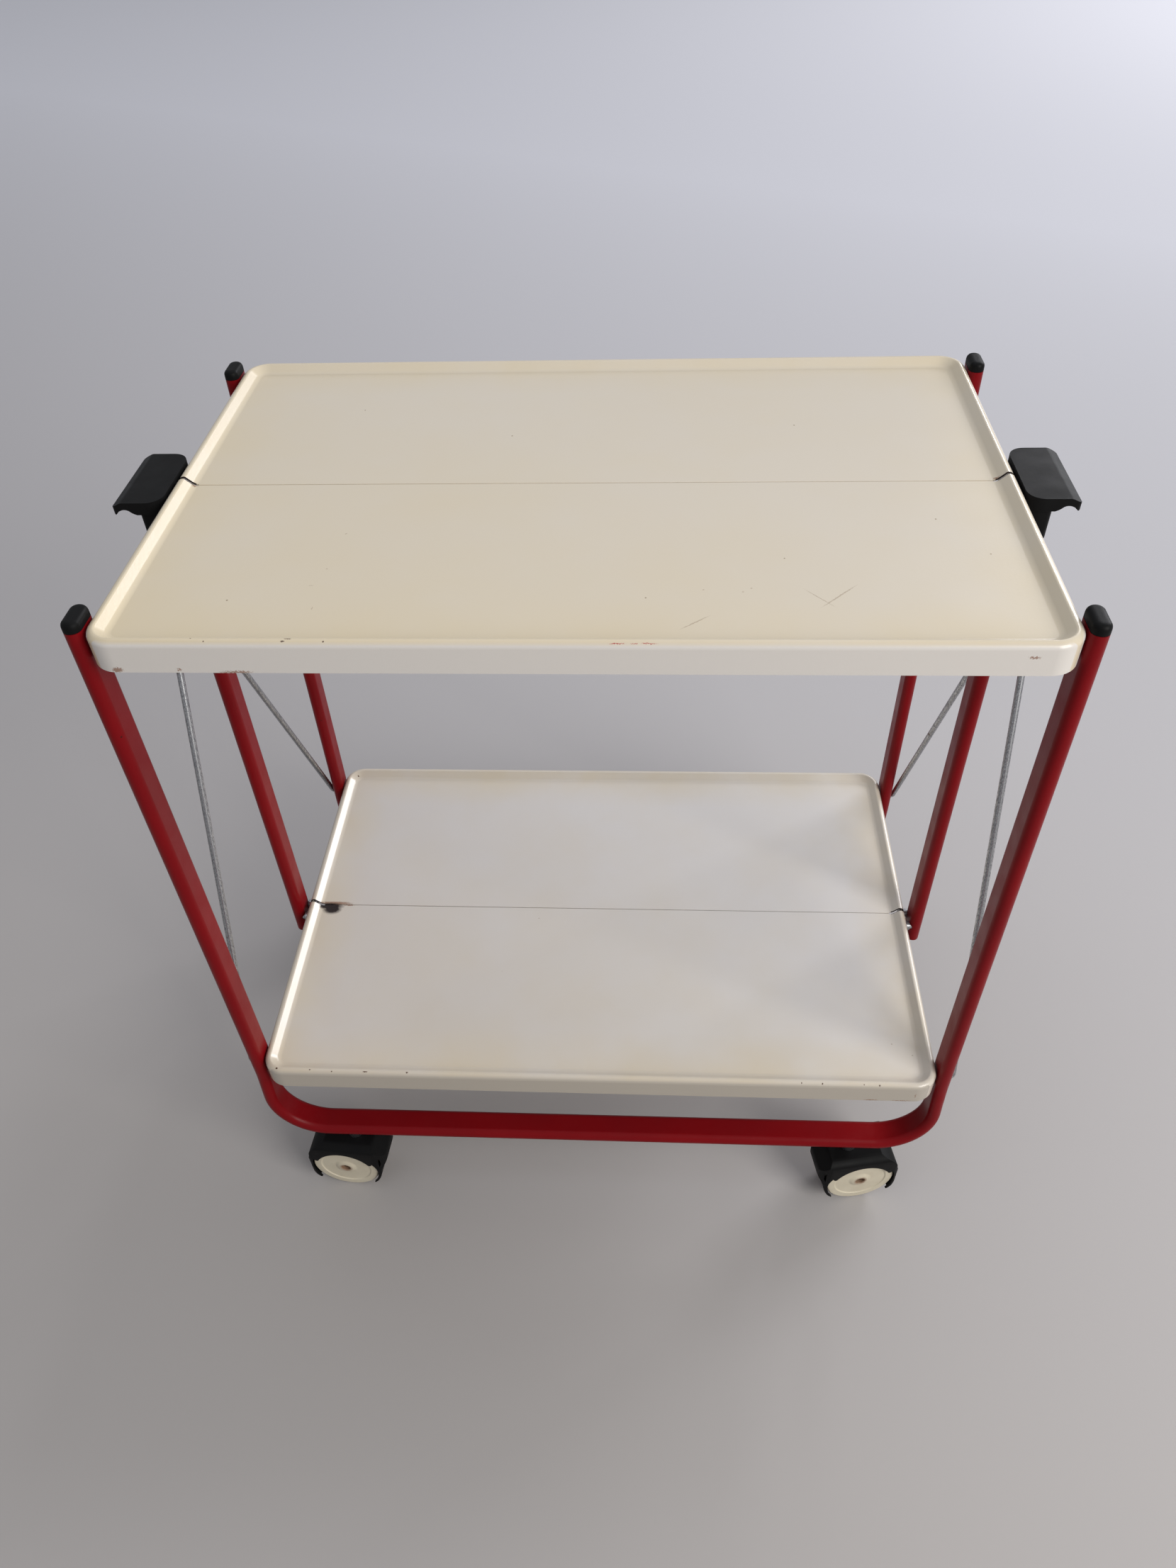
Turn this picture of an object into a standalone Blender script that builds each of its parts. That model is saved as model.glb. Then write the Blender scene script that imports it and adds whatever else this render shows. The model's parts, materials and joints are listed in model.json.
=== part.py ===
"""Folding serving trolley on castors.

Two pressed steel trays, each split along its middle, hang between two U-shaped
frames of flat-oval tube. An upright with a handle stands at each end. Lifting the
handles folds every tray upwards along its seam and brings the two frames together.

+X runs along the trays, +Y to the rear, +Z up. The origin is on the floor, under
the middle of the trolley. Lengths are in metres.
"""

import math

import bmesh
import bpy
from mathutils import Matrix, Vector

# Running and seating clearances
SEAT_GAP = 0.0003
CORNER_GAP = 0.0011
CUT_OVERRUN = 0.002
MERGE = 0.00001

# Trays
TRAY_LENGTH = 0.600
TRAY_DEPTH = 0.400
TRAY_SKIRT = 0.0225
TRAY_CORNER = 0.020
TRAY_WALL = 0.0012
RIM_ROUND = 0.0045
RIM_LAND = 0.0008
RIM_SLOPE = 0.0067
TRAY_RECESS = 0.006
RIM_SLOT = 0.0026
FLOOR_SEAM = 0.001
LOWER_RIM_HEIGHT = 0.200
TRAY_PITCH = 0.475
CORNER_SEGMENTS = 4
ROUND_SEGMENTS = 2

# Pivots of the tray halves, at the legs and at the uprights
PIVOT_DROP = 0.015
LEG_SPREAD = 0.356
CENTRE_SPREAD = 0.016
PIN_RADIUS = 0.003
PIN_HEAD_RADIUS = 0.0055
PIN_HEAD_RISE = 0.0022
PIN_DOME_SHARES = ((0, 1), (0.6, 0.85), (1, 0.25))
PIN_COLLAR_RADIUS = 0.0045
PIN_REACH = 0.0045
PIN_SIDES = 8
SMOOTH_ANGLE = math.radians(35)

# Flat-oval tube
TUBE_WIDTH = 0.025
TUBE_THICKNESS = 0.012
TUBE_WALL = 0.0015
TUBE_END_SEGMENTS = 3
LEG_GAP = 0.001
LEG_TOP_DROP = 0.0015
BEND_RADIUS = 0.043
BEND_SEGMENTS = 6
FRAME_SPLAY = 0.007
CRANK_DROP = 0.013
UPRIGHT_GAP = 0.0055
UPRIGHT_TOP_DROP = 0.006
UPRIGHT_TAIL = 0.018

# Black caps on the legs
CAP_BAND = 0.0025
CAP_DOME = 0.005
CAP_PLUG = 0.009
CAP_DOME_SHARES = ((0.06, 0.4), (0.22, 0.72), (0.45, 0.92), (0.75, 1.0))

# Handles
HANDLE_LENGTH = 0.073
HANDLE_GAP = 0.0013
HANDLE_RIDGE = 0.0292
HANDLE_REACH = 0.0362
HANDLE_LIP_DROP = 0.0036
HANDLE_LIP_DEPTH = 0.0094
HANDLE_LIP_ROUND = 0.0014
HANDLE_GROOVE_DEPTH = 0.0052
HANDLE_GUSSET_DEPTH = 0.0095
HANDLE_POST_DEPTH = 0.0187
HANDLE_POST_HEIGHT = 0.070
HANDLE_SHOULDER = 0.032
HANDLE_SHOULDER_INSET = 0.0025
HANDLE_FOOT_SHARE = 0.48
HANDLE_CORNER = 0.012
HANDLE_TIP_CORNER = 0.004
HANDLE_EDGE = 0.001
HANDLE_SCREW_DROP = 0.050
SCREW_RADIUS = 0.002
SCREW_HEAD_RADIUS = 0.0042
SCREW_HEAD_RISE = 0.002

# Runners on the uprights, and the rods that meet there
RUNNER_DEPTH = 0.0269
RUNNER_WIDTH = 0.036
RUNNER_HEIGHT = 0.0334
RUNNER_INSET = 0.0025
RUNNER_CORNER = 0.004
RUNNER_EDGE = 0.0013
RUNNER_HOLE_DEPTH = 0.008
ROD_RADIUS = 0.00275
ROD_BEND = 0.0032
ROD_BEND_SEGMENTS = 4
ROD_TOP_OUTSET = 0.0041
ROD_TOP_GAP = 0.0004
ROD_HOOK_REACH = 0.0046
LOCK_CAP_RADIUS = 0.0065
LOCK_CAP_LENGTH = 0.006
LOCK_CAP_FLOOR = 0.002
LOCK_DOME_SHARES = ((0, 1), (0.55, 0.9), (0.8, 0.6), (1, 0.2))

# Castors
WHEEL_RADIUS = 0.033
WHEEL_SIDES = 24
WHEEL_FACE = 0.0189
WHEEL_EDGE = 0.0015
WHEEL_DISH_RADIUS = 0.0245
WHEEL_STEP = 0.0009
WHEEL_BOSS_RADIUS = 0.0105
WHEEL_BOSS_TOP_RADIUS = 0.0066
WHEEL_BOSS_RISE = 0.0008
AXLE_RADIUS = 0.0041
AXLE_RECESS = 0.0032
HUB_SPREAD = 0.500
CASTOR_TRAIL = 0.012
CASTOR_YAWS = {
    "front": (math.radians(-4.5), math.radians(10.7)),
    "rear": (math.radians(-10.7), math.radians(4.5)),
}
WEB_HALF = 0.005
HOOD_HALF_DEPTH = 0.022
HOOD_WALL = 0.0021
HOOD_ROOF = 0.003
HOOD_SHOULDER = 0.007
HOOD_SHOULDER_DROP = 0.005
HOOD_LEAD = 0.048
HOOD_LEAD_TOP = 0.039
HOOD_ROOM_LEAD = 0.0385
HOOD_WAIST = 0.0145
HOOD_BREAK = 0.021
HOOD_TOP_END = 0.018
HOOD_WHEEL_GAP = 0.0015
HOOD_EDGE = 0.002
HOOD_TRAIL_CORNER = 0.006
HOOD_LEAD_CORNER = 0.014
HOOD_WRAP = math.radians(28)
HOOD_LEAD_ANGLE = math.radians(3)
TRAIL_SIDE_SHARES = (
    (1.110, 0.00),
    (1.115, 0.21),
    (1.092, 0.39),
    (1.030, 0.56),
    (0.985, 0.73),
    (0.890, 0.91),
    (0.750, 1.05),
)
TRAIL_ROOM_SHARES = ((0.895, 0.69), (0.80, 0.86), (0.65, 0.99))
ARCH_RADIUS = 0.0285
ARCH_EDGE = 0.0125
FLARE_RISE = 0.003
WEB_BOSS = 0.0105
WEB_CUT_HEIGHT = 0.0021
STEM_RADIUS = 0.0035
STEM_SHANK_RADIUS = 0.004
STEM_COLLAR_RADIUS = 0.0075
STEM_COLLAR = 0.0116
STEM_REACH = 0.018

# Places that follow from the sizes above
HALF_LENGTH = TRAY_LENGTH / 2
HALF_DEPTH = TRAY_DEPTH / 2
TOP_RIM_HEIGHT = LOWER_RIM_HEIGHT + TRAY_PITCH
PIVOT_HEIGHTS = {
    "upper": TOP_RIM_HEIGHT - PIVOT_DROP,
    "lower": LOWER_RIM_HEIGHT - PIVOT_DROP,
}
LEG_Y = LEG_SPREAD / 2
CENTRE_Y = CENTRE_SPREAD / 2
LEG_X = HALF_LENGTH + LEG_GAP + TUBE_THICKNESS / 2
UPRIGHT_X = HALF_LENGTH + UPRIGHT_GAP + TUBE_THICKNESS / 2
LEG_TOP = TOP_RIM_HEIGHT - LEG_TOP_DROP
HOLE_RADIUS = PIN_RADIUS + SEAT_GAP
ROD_HOLE = ROD_RADIUS + SEAT_GAP
HUB_HEIGHT = WHEEL_RADIUS * math.cos(math.pi / WHEEL_SIDES)
HOOD_ROOM = WHEEL_RADIUS + HOOD_WHEEL_GAP
HOOD_HEIGHT = HUB_HEIGHT + HOOD_ROOM + HOOD_WALL + HOOD_ROOF
BAR_BOTTOM = HOOD_HEIGHT + STEM_COLLAR + 2 * SEAT_GAP
BAR_Z = BAR_BOTTOM + TUBE_THICKNESS / 2
CRANK_Z = PIVOT_HEIGHTS["lower"] - CRANK_DROP
STEM_X = HUB_SPREAD / 2 - CASTOR_TRAIL
HANDLE_X = HALF_LENGTH + HANDLE_GAP
HANDLE_BOTTOM = TOP_RIM_HEIGHT - HANDLE_POST_HEIGHT
RUNNER_TOP = HANDLE_BOTTOM - SEAT_GAP
RUNNER_X = HALF_LENGTH + RUNNER_INSET
RUNNER_FACE = RUNNER_X + RUNNER_DEPTH
ROD_FOOT_X = LEG_X + TUBE_THICKNESS / 2 + SEAT_GAP + ROD_BEND
ROD_TOP_X = RUNNER_FACE + ROD_TOP_OUTSET
ROD_TOP_Z = RUNNER_TOP - RUNNER_HEIGHT / 2

COLOURS = {
    "tray_enamel": ((0.60, 0.54, 0.45), 0.35, 0.0),
    "red_enamel": ((0.27, 0.008, 0.012), 0.32, 0.0),
    "black_plastic": ((0.02, 0.02, 0.02), 0.45, 0.0),
    "ivory_plastic": ((0.56, 0.52, 0.42), 0.45, 0.0),
    "zinc_steel": ((0.50, 0.50, 0.50), 0.35, 1.0),
}

model = bpy.data.collections.new("serving_trolley")
tools = bpy.data.collections.new("cutters")
materials = {}


def start_scene():
    for item in list(bpy.data.objects):
        bpy.data.objects.remove(item)
    bpy.context.scene.collection.children.link(model)
    bpy.context.scene.collection.children.link(tools)
    for name, (colour, roughness, metallic) in COLOURS.items():
        material = bpy.data.materials.new(name)
        material.use_nodes = True
        shader = material.node_tree.nodes["Principled BSDF"]
        shader.inputs["Base Color"].default_value = (*colour, 1)
        shader.inputs["Roughness"].default_value = roughness
        shader.inputs["Metallic"].default_value = metallic
        material.diffuse_color = (*colour, 1)
        materials[name] = material


def joint_empty(name, place, turn=0.0, parent=None):
    """An empty on a joint's axis that carries the pieces of one moving body."""
    empty = bpy.data.objects.new(name, None)
    model.objects.link(empty)
    empty.parent = parent
    empty.location = place
    empty.rotation_euler = (0, 0, turn)
    return empty


def add_piece(name, mesh, material, parent, place=(0, 0, 0), turn=0.0):
    piece = bpy.data.objects.new(name, mesh)
    model.objects.link(piece)
    piece.parent = parent
    piece.location = place
    piece.rotation_euler = (0, 0, turn)
    if not mesh.materials:
        mesh.materials.append(materials[material])
    return piece


def curve_mesh(curve, matrix=Matrix.Identity(4)):
    """A curve's evaluated mesh, welded, in the place that the matrix gives."""
    holder = bpy.data.objects.new(curve.name, curve)
    tools.objects.link(holder)
    bpy.context.view_layer.update()
    evaluated = holder.evaluated_get(bpy.context.evaluated_depsgraph_get())
    mesh = bpy.data.meshes.new_from_object(evaluated)
    bpy.data.objects.remove(holder)
    body = bmesh.new()
    body.from_mesh(mesh)
    bmesh.ops.remove_doubles(body, verts=body.verts, dist=MERGE)
    bmesh.ops.transform(body, matrix=matrix, verts=body.verts)
    bmesh.ops.recalc_face_normals(body, faces=body.faces)
    body.to_mesh(mesh)
    body.free()
    mesh.materials.clear()
    return mesh


def poly_curve(name, points, flat=False, closed=False):
    curve = bpy.data.curves.new(name, "CURVE")
    curve.dimensions = "2D" if flat else "3D"
    spline = curve.splines.new("POLY")
    spline.points.add(len(points) - 1)
    for point, place in zip(spline.points, points):
        point.co = (*place, 1) if len(place) == 3 else (*place, 0, 1)
    spline.use_cyclic_u = closed
    return curve


def plate_mesh(name, outline, thickness, matrix=Matrix.Identity(4)):
    """A flat closed outline, extruded to both sides of its own plane."""
    curve = poly_curve(name, outline, flat=True, closed=True)
    curve.fill_mode = "BOTH"
    curve.extrude = thickness / 2
    return curve_mesh(curve, matrix)


def turned_mesh(name, profile, sides, matrix=Matrix.Identity(4)):
    """A profile of (radius, height), run from top to bottom, screwed round Z."""
    mesh = bpy.data.meshes.new(name)
    points = [(radius, 0, height) for radius, height in profile]
    mesh.from_pydata(points, [(i, i + 1) for i in range(len(points) - 1)], [])
    holder = bpy.data.objects.new(name, mesh)
    tools.objects.link(holder)
    screw = holder.modifiers.new("turn", "SCREW")
    screw.steps = sides
    screw.render_steps = sides
    screw.use_merge_vertices = True
    screw.merge_threshold = MERGE
    bpy.context.view_layer.update()
    evaluated = holder.evaluated_get(bpy.context.evaluated_depsgraph_get())
    turned = bpy.data.meshes.new_from_object(evaluated)
    bpy.data.objects.remove(holder)
    turned.transform(matrix)
    turned.shade_smooth()
    turned.set_sharp_from_angle(angle=SMOOTH_ANGLE)
    return turned


def lying_mesh(name, profile):
    """A profile of (radius, x), run from its left end to its right end, turned about X."""
    profile = [(radius, -height) for radius, height in profile]
    turn = Matrix.Rotation(-math.pi / 2, 4, "Y")
    return turned_mesh(name, profile, PIN_SIDES, turn)


def cylinder_mesh(name, radius, start, end, sides=PIN_SIDES):
    """A closed cylinder from one point to another."""
    run = Vector(end) - Vector(start)
    turn = run.to_track_quat("Z", "Y").to_matrix().to_4x4()
    body = bmesh.new()
    matrix = Matrix.Translation((Vector(start) + Vector(end)) / 2) @ turn
    bmesh.ops.create_cone(
        body,
        cap_ends=True,
        segments=sides,
        radius1=radius,
        radius2=radius,
        depth=run.length,
        matrix=matrix,
    )
    mesh = bpy.data.meshes.new(name)
    body.to_mesh(mesh)
    body.free()
    return mesh


def combine(piece, mesh, operation="DIFFERENCE"):
    """Cuts a mesh from a piece, or joins it on. The mesh is in the piece's own space."""
    cutter = bpy.data.objects.new(piece.name + "_tool", mesh)
    tools.objects.link(cutter)
    cutter.hide_render = True
    cutter.display_type = "WIRE"
    cutter.parent = piece
    change = piece.modifiers.new(operation.lower(), "BOOLEAN")
    change.object = cutter
    change.operation = operation
    change.solver = "EXACT"
    return change


def arc(centre, radius, start, end, segments):
    """Points on a circle, from one angle to another."""
    step = (end - start) / segments
    return [
        (
            centre[0] + radius * math.cos(start + step * i),
            centre[1] + radius * math.sin(start + step * i),
        )
        for i in range(segments + 1)
    ]


def oval(width, thickness):
    """The flat-oval section: long along the first axis, with round ends."""
    radius = thickness / 2
    straight = width / 2 - radius
    quarter = math.pi / 2
    right = arc((straight, 0), radius, -quarter, quarter, TUBE_END_SEGMENTS)
    left = arc((-straight, 0), radius, quarter, 3 * quarter, TUBE_END_SEGMENTS)
    return right + left


def rounded_box(x_low, x_high, y_half, corner, segments=3):
    """A rectangle with round corners, in plan."""
    quarter = math.pi / 2
    points = []
    centres = (
        (x_high - corner, y_half - corner, 0),
        (x_low + corner, y_half - corner, 1),
        (x_low + corner, corner - y_half, 2),
        (x_high - corner, corner - y_half, 3),
    )
    for x, y, turn in centres:
        points += arc((x, y), corner, quarter * turn, quarter * (turn + 1), segments)
    return points


def stacked_mesh(name, sections):
    """A closed solid lofted through like outlines, each given as (points, height)."""
    body = bmesh.new()
    rings = []
    for points, height in sections:
        rings.append([body.verts.new((x, y, height)) for x, y in points])
    for low, high in zip(rings, rings[1:]):
        for i in range(len(low)):
            j = (i + 1) % len(low)
            body.faces.new((low[i], low[j], high[j], high[i]))
    body.faces.new(list(reversed(rings[0])))
    body.faces.new(rings[-1])
    bmesh.ops.recalc_face_normals(body, faces=body.faces)
    mesh = bpy.data.meshes.new(name)
    body.to_mesh(mesh)
    body.free()
    return mesh


def add_wall(piece, thickness):
    """Gives an open shell its wall, inwards from the outer side."""
    wall = piece.modifiers.new("wall", "SOLIDIFY")
    wall.thickness = thickness
    wall.offset = -1
    wall.use_even_offset = True
    wall.use_quality_normals = True


def round_off(piece, width, segments=2, angle=40):
    bevel = piece.modifiers.new("edges", "BEVEL")
    bevel.width = width
    bevel.segments = segments
    bevel.limit_method = "ANGLE"
    bevel.angle_limit = math.radians(angle)
    return bevel


def tray_surface():
    """The top side of a front tray half. Its origin is at the rim's height, over the seam."""
    body = bmesh.new()
    size = Matrix.Diagonal((TRAY_LENGTH, TRAY_DEPTH, TRAY_SKIRT, 1))
    drop = Matrix.Translation((0, 0, -TRAY_SKIRT / 2))
    bmesh.ops.create_cube(body, size=1, matrix=drop @ size)
    bottom = [f for f in body.faces if f.normal.z < -0.5]
    bmesh.ops.delete(body, geom=bottom, context="FACES_ONLY")
    upright = [e for e in body.edges if abs(e.verts[0].co.z - e.verts[1].co.z) > MERGE]
    bmesh.ops.bevel(
        body,
        geom=upright,
        offset=TRAY_CORNER,
        segments=CORNER_SEGMENTS,
        profile=0.5,
        affect="EDGES",
    )
    top = [f for f in body.faces if f.normal.z > 0.5]
    rim = RIM_ROUND + RIM_LAND
    bmesh.ops.inset_region(body, faces=top, thickness=rim, use_even_offset=True)
    top = [f for f in body.faces if f.normal.z > 0.5 and len(f.verts) > 4]
    bmesh.ops.inset_region(body, faces=top, thickness=RIM_SLOPE, use_even_offset=True)
    floor = [f for f in body.faces if len(f.verts) > 4]
    for vert in floor[0].verts:
        vert.co.z = -TRAY_RECESS
    body.normal_update()
    top_edge = [
        e
        for e in body.edges
        if len(e.link_faces) == 2
        and abs(e.verts[0].co.z) < MERGE
        and abs(e.verts[1].co.z) < MERGE
        and any(abs(f.normal.z) < 0.1 for f in e.link_faces)
    ]
    bmesh.ops.bevel(
        body,
        geom=top_edge,
        offset=RIM_ROUND,
        segments=ROUND_SEGMENTS,
        profile=0.5,
        affect="EDGES",
    )
    return body


def cut_seam(body):
    """Leaves the front half, rounds its lower inner corners and folds the floor down."""
    geometry = body.verts[:] + body.edges[:] + body.faces[:]
    bmesh.ops.bisect_plane(
        body,
        geom=geometry,
        dist=MERGE,
        plane_co=(0, -RIM_SLOT / 2, 0),
        plane_no=(0, 1, 0),
        clear_outer=True,
    )
    radius = CENTRE_Y - RIM_SLOT / 2
    for degrees in (14, 34, 54, 74):
        angle = math.radians(degrees)
        normal = Vector((0, math.cos(angle), -math.sin(angle)))
        centre = Vector((0, -CENTRE_Y, -PIVOT_DROP))
        geometry = body.verts[:] + body.edges[:] + body.faces[:]
        bmesh.ops.bisect_plane(
            body,
            geom=geometry,
            dist=MERGE,
            plane_co=centre + normal * radius,
            plane_no=normal,
            clear_outer=True,
        )
    seam = [
        e
        for e in body.edges
        if len(e.link_faces) == 1
        and all(abs(v.co.z + TRAY_RECESS) < MERGE for v in e.verts)
        and all(abs(v.co.y + RIM_SLOT / 2) < MERGE for v in e.verts)
    ]
    lips = ((0, (RIM_SLOT - FLOOR_SEAM) / 2, 0), (0, 0, TRAY_RECESS - PIVOT_DROP))
    for lip in lips:
        made = bmesh.ops.extrude_edge_only(body, edges=seam)["geom"]
        verts = [g for g in made if isinstance(g, bmesh.types.BMVert)]
        bmesh.ops.translate(body, vec=lip, verts=verts)
        seam = [
            g
            for g in made
            if isinstance(g, bmesh.types.BMEdge) and all(v in verts for v in g.verts)
        ]


def tray_mesh():
    body = tray_surface()
    cut_seam(body)
    bmesh.ops.recalc_face_normals(body, faces=body.faces)
    flat = [f for f in body.faces if abs(f.normal.z) > 0.9]
    if max(flat, key=lambda f: f.calc_area()).normal.z < 0:
        bmesh.ops.reverse_faces(body, faces=body.faces)
    mesh = bpy.data.meshes.new("tray_half")
    body.to_mesh(mesh)
    body.free()
    return mesh


def add_tray_half(name, parent, pivot_y, leg_hole):
    """The half hangs on the pivot at pivot_y, where its parent empty is."""
    mesh = tray_mesh()
    mesh.transform(Matrix.Translation((0, -pivot_y, PIVOT_DROP)))
    piece = add_piece(name, mesh, "tray_enamel", parent)
    add_wall(piece, TRAY_WALL)
    for end in (-1, 1):
        for y, hole in ((-LEG_Y, leg_hole), (-CENTRE_Y, HOLE_RADIUS)):
            inside = (end * (HALF_LENGTH - TRAY_WALL - CUT_OVERRUN), y - pivot_y, 0)
            outside = (end * (HALF_LENGTH + CUT_OVERRUN), y - pivot_y, 0)
            combine(piece, cylinder_mesh(name + "_hole", hole, inside, outside))
    return piece


def frame_path():
    """The centre line of a U-shaped frame, from its left top to its right top."""
    radius = BEND_RADIUS + TUBE_THICKNESS / 2
    quarter = math.pi / 2
    low = BAR_Z + radius
    left = arc((radius - LEG_X, low), radius, -2 * quarter, -quarter, BEND_SEGMENTS)
    right = arc((LEG_X - radius, low), radius, -quarter, 0, BEND_SEGMENTS)
    down = [(-LEG_X, LEG_TOP), (-LEG_X, CRANK_Z)]
    up = [(LEG_X, CRANK_Z), (LEG_X, LEG_TOP)]
    return [(x, 0, z) for x, z in down + left + right + up]


def splay(mesh):
    """Leans all that is below the crank outwards, to -Y."""
    lean = FRAME_SPLAY / (CRANK_Z - BAR_Z)
    for vertex in mesh.vertices:
        vertex.co.y -= lean * max(0.0, CRANK_Z - vertex.co.z)


def tube_mesh(name, path):
    """A flat-oval tube along a path in the XZ plane, its long side across that plane."""
    outline = [(y, x) for x, y in oval(TUBE_WIDTH, TUBE_THICKNESS)]
    section = poly_curve(name + "_section", outline, flat=True, closed=True)
    section_holder = bpy.data.objects.new(section.name, section)
    tools.objects.link(section_holder)
    curve = poly_curve(name, path)
    curve.bevel_mode = "OBJECT"
    curve.bevel_object = section_holder
    curve.twist_mode = "MINIMUM"
    mesh = curve_mesh(curve)
    bpy.data.objects.remove(section_holder)
    return mesh


def add_frame(name, parent):
    """A bent tube with holes for its pivots, the rods' hooks and the castors' stems."""
    mesh = tube_mesh(name, frame_path())
    splay(mesh)
    piece = add_piece(name, mesh, "red_enamel", parent)
    add_wall(piece, TUBE_WALL)
    inner = LEG_X - TUBE_THICKNESS / 2
    outer = LEG_X + TUBE_THICKNESS / 2
    for end in (-1, 1):
        start = (end * (inner - CUT_OVERRUN), 0, PIVOT_HEIGHTS["upper"])
        stop = (end * LEG_X, 0, PIVOT_HEIGHTS["upper"])
        combine(piece, cylinder_mesh(name + "_pivot", HOLE_RADIUS, start, stop))
        start = (end * (inner - CUT_OVERRUN), 0, PIVOT_HEIGHTS["lower"])
        stop = (end * (outer + CUT_OVERRUN), 0, PIVOT_HEIGHTS["lower"])
        combine(piece, cylinder_mesh(name + "_hook", ROD_HOLE, start, stop))
        start = (end * STEM_X, -FRAME_SPLAY, BAR_BOTTOM - CUT_OVERRUN)
        stop = (end * STEM_X, -FRAME_SPLAY, BAR_Z)
        hole = STEM_SHANK_RADIUS + SEAT_GAP
        combine(piece, cylinder_mesh(name + "_stem", hole, start, stop))
    return piece


def cap_ring(loss):
    """The leg's section, made smaller all round by the loss."""
    return [(y, x) for x, y in oval(TUBE_WIDTH - 2 * loss, TUBE_THICKNESS - 2 * loss)]


def cap_mesh():
    """A cap: a plug in the tube, a band over its end and a domed top."""
    plug = cap_ring(TUBE_WALL + SEAT_GAP)
    band = cap_ring(0)
    sections = [(plug, -CAP_PLUG), (plug, SEAT_GAP), (band, SEAT_GAP), (band, CAP_BAND)]
    for inset_share, rise_share in CAP_DOME_SHARES:
        ring = cap_ring(inset_share * TUBE_THICKNESS / 2)
        sections.append((ring, CAP_BAND + rise_share * CAP_DOME))
    return stacked_mesh("leg_cap", sections)


def pivot_pin_mesh(name, reach, head_gap=SEAT_GAP, collar=0.0):
    """A rivet along X: a domed head inside the tray, its shank pointing to +X.

    Its origin is on the outer face of the tray's end.
    """
    inside = -TRAY_WALL - head_gap
    head = [(PIN_HEAD_RADIUS * a, inside - PIN_HEAD_RISE * b) for a, b in PIN_DOME_SHARES]
    head += [(PIN_HEAD_RADIUS, inside), (PIN_RADIUS, inside)]
    if collar:
        head += [
            (PIN_RADIUS, SEAT_GAP),
            (PIN_COLLAR_RADIUS, SEAT_GAP),
            (PIN_COLLAR_RADIUS, collar - SEAT_GAP),
            (PIN_RADIUS, collar - SEAT_GAP),
        ]
    profile = head + [(PIN_RADIUS, reach), (0, reach)]
    return lying_mesh(name, profile)


def lock_cap_mesh():
    """A domed cap pushed on the rod's hook, inside the lower tray. It opens to +X."""
    inside = -TRAY_WALL - CORNER_GAP
    dome = [
        (LOCK_CAP_RADIUS * a, inside - LOCK_CAP_LENGTH * b) for a, b in LOCK_DOME_SHARES
    ]
    floor = inside - LOCK_CAP_LENGTH + LOCK_CAP_FLOOR
    bore = [(LOCK_CAP_RADIUS, inside), (ROD_HOLE, inside), (ROD_HOLE, floor), (0, floor)]
    return lying_mesh("lock_cap", dome + bore)


def rod_points(end):
    """A front rod: in through the leg, up past its outer face and over to the runner."""
    foot = Vector((end * ROD_FOOT_X, -LEG_Y, PIVOT_HEIGHTS["lower"]))
    top = Vector((end * ROD_TOP_X, -CENTRE_Y, ROD_TOP_Z))
    along = (top - foot).normalized()
    inwards = Vector((-end, 0, 0))
    hook_end = foot.copy()
    hook_end.x = end * (HALF_LENGTH - TRAY_WALL - ROD_HOOK_REACH)
    top_end = top.copy()
    top_end.x = end * (RUNNER_FACE + ROD_TOP_GAP)
    bends = bend_points(foot, inwards, along) + bend_points(top, -along, inwards)
    return [hook_end] + bends + [top_end]


def bend_points(corner, back, ahead):
    """A round bend at a corner. Both directions lead away from it."""
    half = back.angle(ahead) / 2
    centre = corner + (back + ahead).normalized() * (ROD_BEND / math.sin(half))
    reach = ROD_BEND / math.tan(half)
    first = (corner + back * reach - centre).normalized()
    last = (corner + ahead * reach - centre).normalized()
    shares = [i / ROD_BEND_SEGMENTS for i in range(ROD_BEND_SEGMENTS + 1)]
    return [centre + first.slerp(last, share) * ROD_BEND for share in shares]


def add_rod(name, parent, origin, end):
    curve = poly_curve(name, [tuple(point - origin) for point in rod_points(end)])
    curve.bevel_depth = ROD_RADIUS
    curve.bevel_resolution = 2
    curve.use_fill_caps = True
    mesh = curve_mesh(curve)
    return add_piece(name, mesh, "zinc_steel", parent)


def upright_mesh(name):
    """The middle upright: straight tube. Its origin is on the floor, under its middle."""
    top = TOP_RIM_HEIGHT - UPRIGHT_TOP_DROP
    foot = PIVOT_HEIGHTS["lower"] - UPRIGHT_TAIL
    return tube_mesh(name, [(0, 0, foot), (0, 0, top)])


def add_upright(name, parent, turn):
    place = (UPRIGHT_X * math.cos(turn), 0, -PIVOT_HEIGHTS["upper"])
    piece = add_piece(name, upright_mesh(name), "red_enamel", parent, place, turn)
    add_wall(piece, TUBE_WALL)
    half = TUBE_THICKNESS / 2
    for z in PIVOT_HEIGHTS.values():
        for y in (-CENTRE_Y, CENTRE_Y):
            start = (-half - CUT_OVERRUN, y, z)
            combine(piece, cylinder_mesh(name + "_pivot", HOLE_RADIUS, start, (0, y, z)))
    start = (0, 0, TOP_RIM_HEIGHT - HANDLE_SCREW_DROP)
    stop = (half + CUT_OVERRUN, 0, start[2])
    hole = SCREW_RADIUS + SEAT_GAP
    combine(piece, cylinder_mesh(name + "_screw", hole, start, stop))
    return piece


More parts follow.
